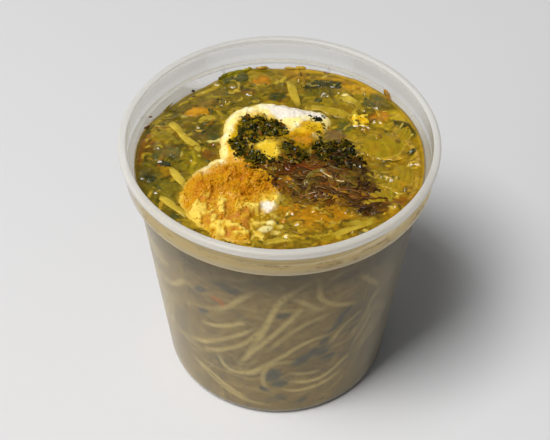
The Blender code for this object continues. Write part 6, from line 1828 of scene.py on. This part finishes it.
def make_petals(rng):
    """Soft onion slices: low, wet, with faint growth lines round a point off
    to one side."""
    mat = food_material("onion_petal", rough=0.13, rough_vary=0.05, coat=0.3, coat_rough=0.06, spec=0.4, sss=0.25,
                        sss_scale=0.0015, fine=1200.0, fine_amount=0.08, broad=350.0, broad_amount=0.14, bump=0.25,
                        bump_scale=500.0)

    def petal(name, cx, cy, hl, hw, turn, rise, tone, node=None, seed=0):
        nr, na = 30, 84
        rho, th = np.meshgrid(np.linspace(0.02, 1.0, nr), np.linspace(0, 2 * math.pi, na, endpoint=False), indexing="ij")
        wob = 1 + 0.13 * fbm(np.cos(th) * 1.3, np.sin(th) * 1.3, seed, 3, seed)
        u, v = rho * np.cos(th) * hl * wob, rho * np.sin(th) * hw * wob
        c, s = math.cos(math.radians(turn)), math.sin(math.radians(turn))
        x, y = cx + u * c - v * s, cy + u * s + v * c
        r = np.hypot(x, y)
        k = np.minimum(1.0, 51.6 / np.maximum(r, 1e-6))
        x, y = x * k, y * k
        q = np.hypot(u / hl + 1.25, 0.75 * v / hw + 0.2)
        lines = np.sin(15 * q + 2.2 * fbm(x / 5, y / 5, seed, 2, seed))
        z = surface_z(x, y) + rise * (1 - rho ** 3.0) ** 0.8 * (0.7 + 0.3 * fbm(x / 3.4, y / 3.4, seed, 3, seed + 1)) \
            + 0.05 * lines * smooth(1.0, 0.8, rho) - 0.5 * smooth(0.88, 1.0, rho)
        col = mix3(lin(148, 124, 12), lin(170, 144, 30), smooth(-0.3, 0.9, lines) * 0.45)
        col = mix3(col, lin(176, 128, 16), smooth(0.0, 0.5, fbm(x / 3, y / 3, seed, 3, seed + 4)) * 0.6)
        col = mix3(col, lin(118, 100, 10), smooth(0.0, 0.5, fbm(x / 4, y / 4, seed + 3, 3, seed + 6)) * 0.6)
        col = mix3(col, np.asarray(tone), 0.25)
        # a painted highlight along part of the rim
        edge = np.exp(-((rho - 0.90) / 0.06) ** 2) * smooth(-0.4, 0.8, np.sin(th + seed))
        col = mix3(col, lin(206, 178, 66), edge * 0.45)
        col = mix3(col, lin(140, 112, 14), smooth(0.93, 1.0, rho) * 0.6)
        verts = np.stack([x, y, z], -1).reshape(-1, 3)
        obj = mesh_object(name, verts, [grid_faces(nr, na, wrap=True)], mat, col.reshape(-1, 3))
        ride(obj, (node,) if node else ())

    petal("onion_petal_1", 38.4, 8.8, 8.8, 7.6, 12.0, 1.25, lin(160, 136, 18), "onion_slice_1", 3)
    petal("onion_petal_2", 44.2, -8.6, 5.0, 8.4, -12.0, 1.0, lin(168, 130, 28), "onion_slice_2", 9)
    petal("onion_petal_3", 36.6, -18.0, 5.0, 3.8, 20.0, 0.8, lin(160, 130, 30), None, 14)
    petal("onion_petal_4", 46.2, 14.6, 3.4, 5.0, -35.0, 0.7, lin(140, 118, 24), None, 21)


# --------------------------------------------------------------------------
# Beans, leaves and small bits
# --------------------------------------------------------------------------
def make_beans():
    mat = food_material("bean", rough=0.34, coat=0.08, coat_rough=0.14, spec=0.25, sss=0.15, sss_scale=0.0015, fine=1500.0,
                        fine_amount=0.08, broad=400.0, broad_amount=0.14, bump=0.15, bump_scale=700.0)
    for name, (cx, cy, hl, hw, ht, turn, rise) in {"bean_1": (-30.8, 27.4, 6.8, 3.8, 2.4, 2.0, -1.90),
                                                  "bean_2": (-7.0, 45.8, 6.8, 4.6, 3.6, -8.0, -2.65)}.items():
        n, m = 30, 52
        ph, th = np.meshgrid(np.linspace(0.03, math.pi - 0.03, n), np.linspace(0, 2 * math.pi, m, endpoint=False), indexing="ij")
        dx, dy, dz = np.cos(ph), np.sin(ph) * np.cos(th), np.sin(ph) * np.sin(th)
        dent = 1 - 0.16 * np.exp(-((dx / 0.35) ** 2 + ((dy + 1) / 0.6) ** 2 + (dz / 0.8) ** 2))
        lump = 1 + 0.20 * fbm(dx * 1.8, dy * 1.8, dz * 1.8 + hl, 3, 601)
        u, v, w = dx * hl * lump, dy * hw * dent * lump, dz * ht * lump
        c, s = math.cos(math.radians(turn)), math.sin(math.radians(turn))
        x, y = cx + u * c - v * s, cy + u * s + v * c
        z = LEVEL + rise + w
        col = mix3(lin(186, 128, 14), lin(202, 146, 34), smooth(-0.4, 0.5, fbm(dx * 3, dy * 3, dz * 3, 3, 611)))
        if name == "bean_2":
            col = mix3(col, lin(176, 116, 22), 0.75)
        # the broth's film lies over its lower part
        film = z - surface_z(x, y) + 0.9 * fbm(x / 2.2, y / 1.5, 2.0, 3, 613)
        col = mix3(col, lin(138, 104, 14), smooth(0.80, -0.02, film) * 0.95)
        verts = np.stack([x, y, z], -1).reshape(-1, 3)
        obj = mesh_object(name + "_skin", verts, [grid_faces(n, m, wrap=True)[:, ::-1]], mat, col.reshape(-1, 3))
        ride(obj, (name,))


def make_leaves(rng):
    bag = Bag()

    def leaf(cx, cy, ln, wd, ang, lift, colour, crumple=0.5, seed=0, curl=0.0):
        nu, nv = 20, 12
        U, V = np.meshgrid(np.linspace(-1, 1, nu), np.linspace(-1, 1, nv), indexing="ij")
        shape = np.clip(1 - np.abs(U) ** 2.2, 0.03, 1) ** 0.6
        ragged = 1 + 0.35 * fbm(U * 2.0, V * 1.5, seed, 3, seed + 2)
        u, v = U * ln / 2 * (1 + 0.08 * fbm(U, V, seed + 5, 2, 3)), V * wd / 2 * shape * ragged
        c, s = math.cos(math.radians(ang)), math.sin(math.radians(ang))
        x, y = cx + u * c - v * s, cy + u * s + v * c
        r = np.hypot(x, y)
        k = np.minimum(1.0, 51.4 / np.maximum(r, 1e-6))
        x, y = x * k, y * k
        z = surface_z(x, y) + lift + crumple * fbm(x / 1.9, y / 1.9, seed, 3, seed + 7) + curl * (V ** 2) * 0.8 \
            - 0.7 * smooth(0.7, 1.0, np.abs(U)) - 0.25 * smooth(0.75, 1.0, np.abs(V))
        vein = np.exp(-(V / 0.12) ** 2) * 0.4
        col = np.asarray(colour)[None, None, :] * (1 + 0.35 * fbm(x / 1.3, y / 1.3, seed, 3, seed + 9))[..., None]
        col = mix3(col, lin(120, 118, 60), vein)
        bag.add(np.stack([x, y, z], -1).reshape(-1, 3), [grid_faces(nu, nv)], col.reshape(-1, 3))

    g1, g2, g3, black = lin(56, 58, 26), lin(78, 76, 30), lin(98, 92, 38), lin(32, 34, 22)
    for i, a in enumerate([
            (18.2, 44.4, 12.5, 4.4, -6, 0.25, g1), (14.0, 41.0, 7.0, 3.2, 10, 0.1, g1), (35.6, 33.4, 9.0, 6.6, 20, 0.35, g2),
            (-41.7, -2.6, 4.6, 3.2, -10, 0.35, black), (-46.8, -10.6, 5.2, 3.4, 60, 0.25, g1), (-17.5, 46.3, 11.5, 4.2, 14, 0.4, g2),
            (-22.5, 38.0, 9.0, 4.0, 10, 0.05, g3), (-24.0, 11.6, 9.0, 6.0, -25, 0.05, g2), (-30.0, 16.0, 6.0, 3.0, 30, 0.1, g1),
            (-38.0, 6.0, 8.0, 5.0, 40, -0.05, g3), (-45.5, 2.0, 6.0, 4.0, 80, 0.0, g2), (-1.0, 37.0, 9.0, 3.6, 0, 0.1, g1),
            (22.5, 19.0, 6.6, 3.8, -35, 0.15, g3), (-42.0, -14.0, 6.0, 4.0, 20, 0.05, g2), (48.0, 15.0, 8.0, 2.6, -48, 0.15, g1),
            (-36.0, -30.0, 7.0, 3.0, -45, 0.1, g2), (-20.0, -42.0, 5.0, 2.6, -20, 0.15, lin(84, 48, 22)), (28.0, -36.0, 6.0, 3.0, 20, 0.0, g3),
            (-2.0, -32.5, 5.4, 3.4, 10, 0.1, g2), (6.0, -45.5, 6.0, 3.0, 5, 0.05, g3), (40.0, -24.0, 6.0, 3.0, 60, 0.0, g3)]):
        leaf(*a, crumple=0.7, seed=20 + i * 3, curl=0.4 * math.sin(i * 1.7))
    for i in range(70):
        for _ in range(30):
            a, q = rng.uniform(0, 2 * math.pi), 50 * math.sqrt(rng.random())
            x0, y0 = q * math.cos(a), q * math.sin(a)
            if kashk_height(np.array(x0), np.array(y0)) <= 0 and share(ONION_CENTRE, ONION_RADII, x0, y0) > 1.0:
                break
        c = (g1, g2, g3, black)[rng.choice(4, p=[0.3, 0.35, 0.25, 0.1])] * rng.uniform(0.85, 1.2)
        leaf(x0, y0, rng.uniform(1.8, 5.5), rng.uniform(1.0, 2.8), rng.uniform(0, 180), rng.uniform(-0.12, 0.15), c,
             crumple=0.45, seed=200 + i, curl=rng.normal(0, 0.4))
    mat = food_material("leaf", rough=0.24, rough_vary=0.1, coat=0.5, coat_rough=0.08, sss=0.0, fine=1800.0,
                        fine_amount=0.18, broad=500.0, broad_amount=0.15, bump=0.25, bump_scale=900.0)
    ride(bag.build("herb_leaves", mat))

    # the small yellow curd with dark specks at the back right, with a painted glint along its front edge
    nu = 30
    U, V = np.meshgrid(np.linspace(-1, 1, nu), np.linspace(-1, 1, nu), indexing="ij")
    x = 30.4 + 3.3 * U + 0.7 * fbm(U * 1.5, V * 1.5, 1, 3, 701)
    y = 22.6 + 3.9 * V + 0.7 * fbm(U * 1.5, V * 1.5, 5, 3, 703)
    out = np.maximum(np.abs(U), np.abs(V)) + 0.16 * fbm(U * 2.2, V * 2.2, 3, 3, 705)
    top = 1.15 + 0.8 * fbm(x / 1.5, y / 1.5, 2, 3, 707)
    z = surface_z(x, y) + np.maximum(top, 0.25) * np.clip(1 - np.clip(out, 0, 1) ** 4, 0, 1) ** 0.6 - 0.5 * smooth(0.9, 1.0, out)
    shade = mix3(lin(226, 178, 8), lin(244, 214, 70), smooth(-0.25, 0.45, fbm(x / 1.3, y / 1.3, 0, 3, 709)))
    shade = mix3(shade, lin(84, 60, 10), smooth(0.16, 0.34, fbm(x / 0.85, y / 0.85, 4, 2, 711)) * 0.9)
    # painted highlight: a near-white band along the front edge, where the wet bit catches the light
    shade = mix3(shade, lin(236, 232, 214), smooth(-0.72, -0.88, V + 0.1 * U) * 0.9)
    bit = Bag()
    bit.add(np.stack([x, y, z], -1).reshape(-1, 3), [grid_faces(nu, nu)], shade.reshape(-1, 3))
    matb = food_material("yellow_bit", rough=0.25, coat=0.15, spec=0.3, sss=0.1, sss_scale=0.001, fine=1500.0, fine_amount=0.12,
                         broad=600.0, broad_amount=0.1, bump=0.3, bump_scale=900.0)
    ride(bit.build("yellow_bit", matb))


def make_wall_bits():
    """Scraps of the soup that stick to the inside of the wall over its edge."""
    bag = Bag()

    def stuck(angle, z, length, height, tilt, colour, thick, seed):
        nu, nv = 26, 12
        U, V = np.meshgrid(np.linspace(-1, 1, nu), np.linspace(-1, 1, nv), indexing="ij")
        shape = np.clip(1 - np.abs(U) ** 2.6, 0.02, 1) ** 0.6 * (1 + 0.45 * fbm(U * 2.0, V, seed, 3, seed))
        u, v = U * length / 2, V * height / 2 * shape + 0.25 * height * fbm(U * 1.6, 0 * V, seed + 2, 2, seed + 1)
        c, s = math.cos(math.radians(tilt)), math.sin(math.radians(tilt))
        along, up = u * c - v * s, u * s + v * c
        zz = z + up
        r = inner_r(zz) - 0.04 - thick * np.clip(1 - U ** 2, 0, 1) * np.clip(1 - V ** 2, 0, 1) * (1 + 0.4 * fbm(U * 2, V * 2, seed + 5, 3, seed + 3))
        ph = math.radians(angle) + along / 53.0
        col = np.asarray(colour)[None, None, :] * (1 + 0.5 * fbm(u / 1.2, v / 1.0, seed, 3, seed + 4))[..., None]
        bag.add(np.stack([r * np.sin(ph), -r * np.cos(ph), zz], -1).reshape(-1, 3), [grid_faces(nu, nv)], np.clip(col, 0, 1).reshape(-1, 3))

    for a in [(129.5, 99.6, 6.0, 2.6, 34, lin(150, 108, 26), 0.7, 3), (127.0, 97.9, 4.0, 1.8, 0, lin(110, 92, 22), 0.6, 5),
              (-108.6, 97.2, 5.4, 1.0, 26, lin(124, 84, 24), 0.4, 7), (-113.0, 98.8, 3.2, 0.7, 40, lin(140, 100, 34), 0.35, 9),
              (-139.8, 95.2, 1.6, 1.0, 0, lin(44, 38, 16), 0.5, 11), (-160.0, 96.8, 12.0, 2.8, 0, lin(120, 112, 16), 0.8, 13),
              (-155.0, 95.6, 5.0, 2.4, 10, lin(92, 88, 14), 0.8, 15), (-165.4, 97.6, 4.0, 1.6, -12, lin(150, 136, 24), 0.6, 16),
              (171.6, 97.7, 4.4, 1.9, -10, lin(178, 144, 40), 0.7, 17), (176.0, 97.0, 5.0, 1.0, 4, lin(168, 136, 48), 0.5, 19),
              (150.0, 97.2, 8.0, 1.0, -3, lin(160, 124, 24), 0.5, 21), (139.0, 97.0, 7.0, 1.2, 2, lin(132, 104, 20), 0.5, 23),
              (112.0, 97.0, 6.0, 1.0, 5, lin(120, 96, 24), 0.5, 25), (-125.0, 95.6, 6.0, 1.0, -4, lin(132, 112, 26), 0.5, 27),
              (-98.0, 96.8, 7.0, 1.1, 3, lin(128, 96, 26), 0.5, 29), (92.0, 97.0, 6.0, 1.0, -3, lin(150, 120, 30), 0.5, 31),
              (160.0, 97.3, 3.0, 1.5, 20, lin(116, 82, 20), 0.5, 33), (-172.0, 97.4, 5.0, 1.3, 4, lin(168, 128, 34), 0.6, 35)]:
        stuck(*a)
    mat = food_material("wall_bit", rough=0.25, coat=0.25, coat_rough=0.08, spec=0.4, fine=1500.0, fine_amount=0.15,
                        broad=500.0, broad_amount=0.12)
    ride(bag.build("wall_bits", mat))


make_camera()
make_stage()
make_tub()
seed = np.random.default_rng(20)
make_broth_side()
make_broth_top(seed)
make_kashk()
make_garlic(np.random.default_rng(31))
make_onion(np.random.default_rng(41))
make_mint(np.random.default_rng(53))
make_top_noodles(np.random.default_rng(67))
make_petals(np.random.default_rng(71))
make_beans()
make_leaves(np.random.default_rng(83))
make_wall_bits()
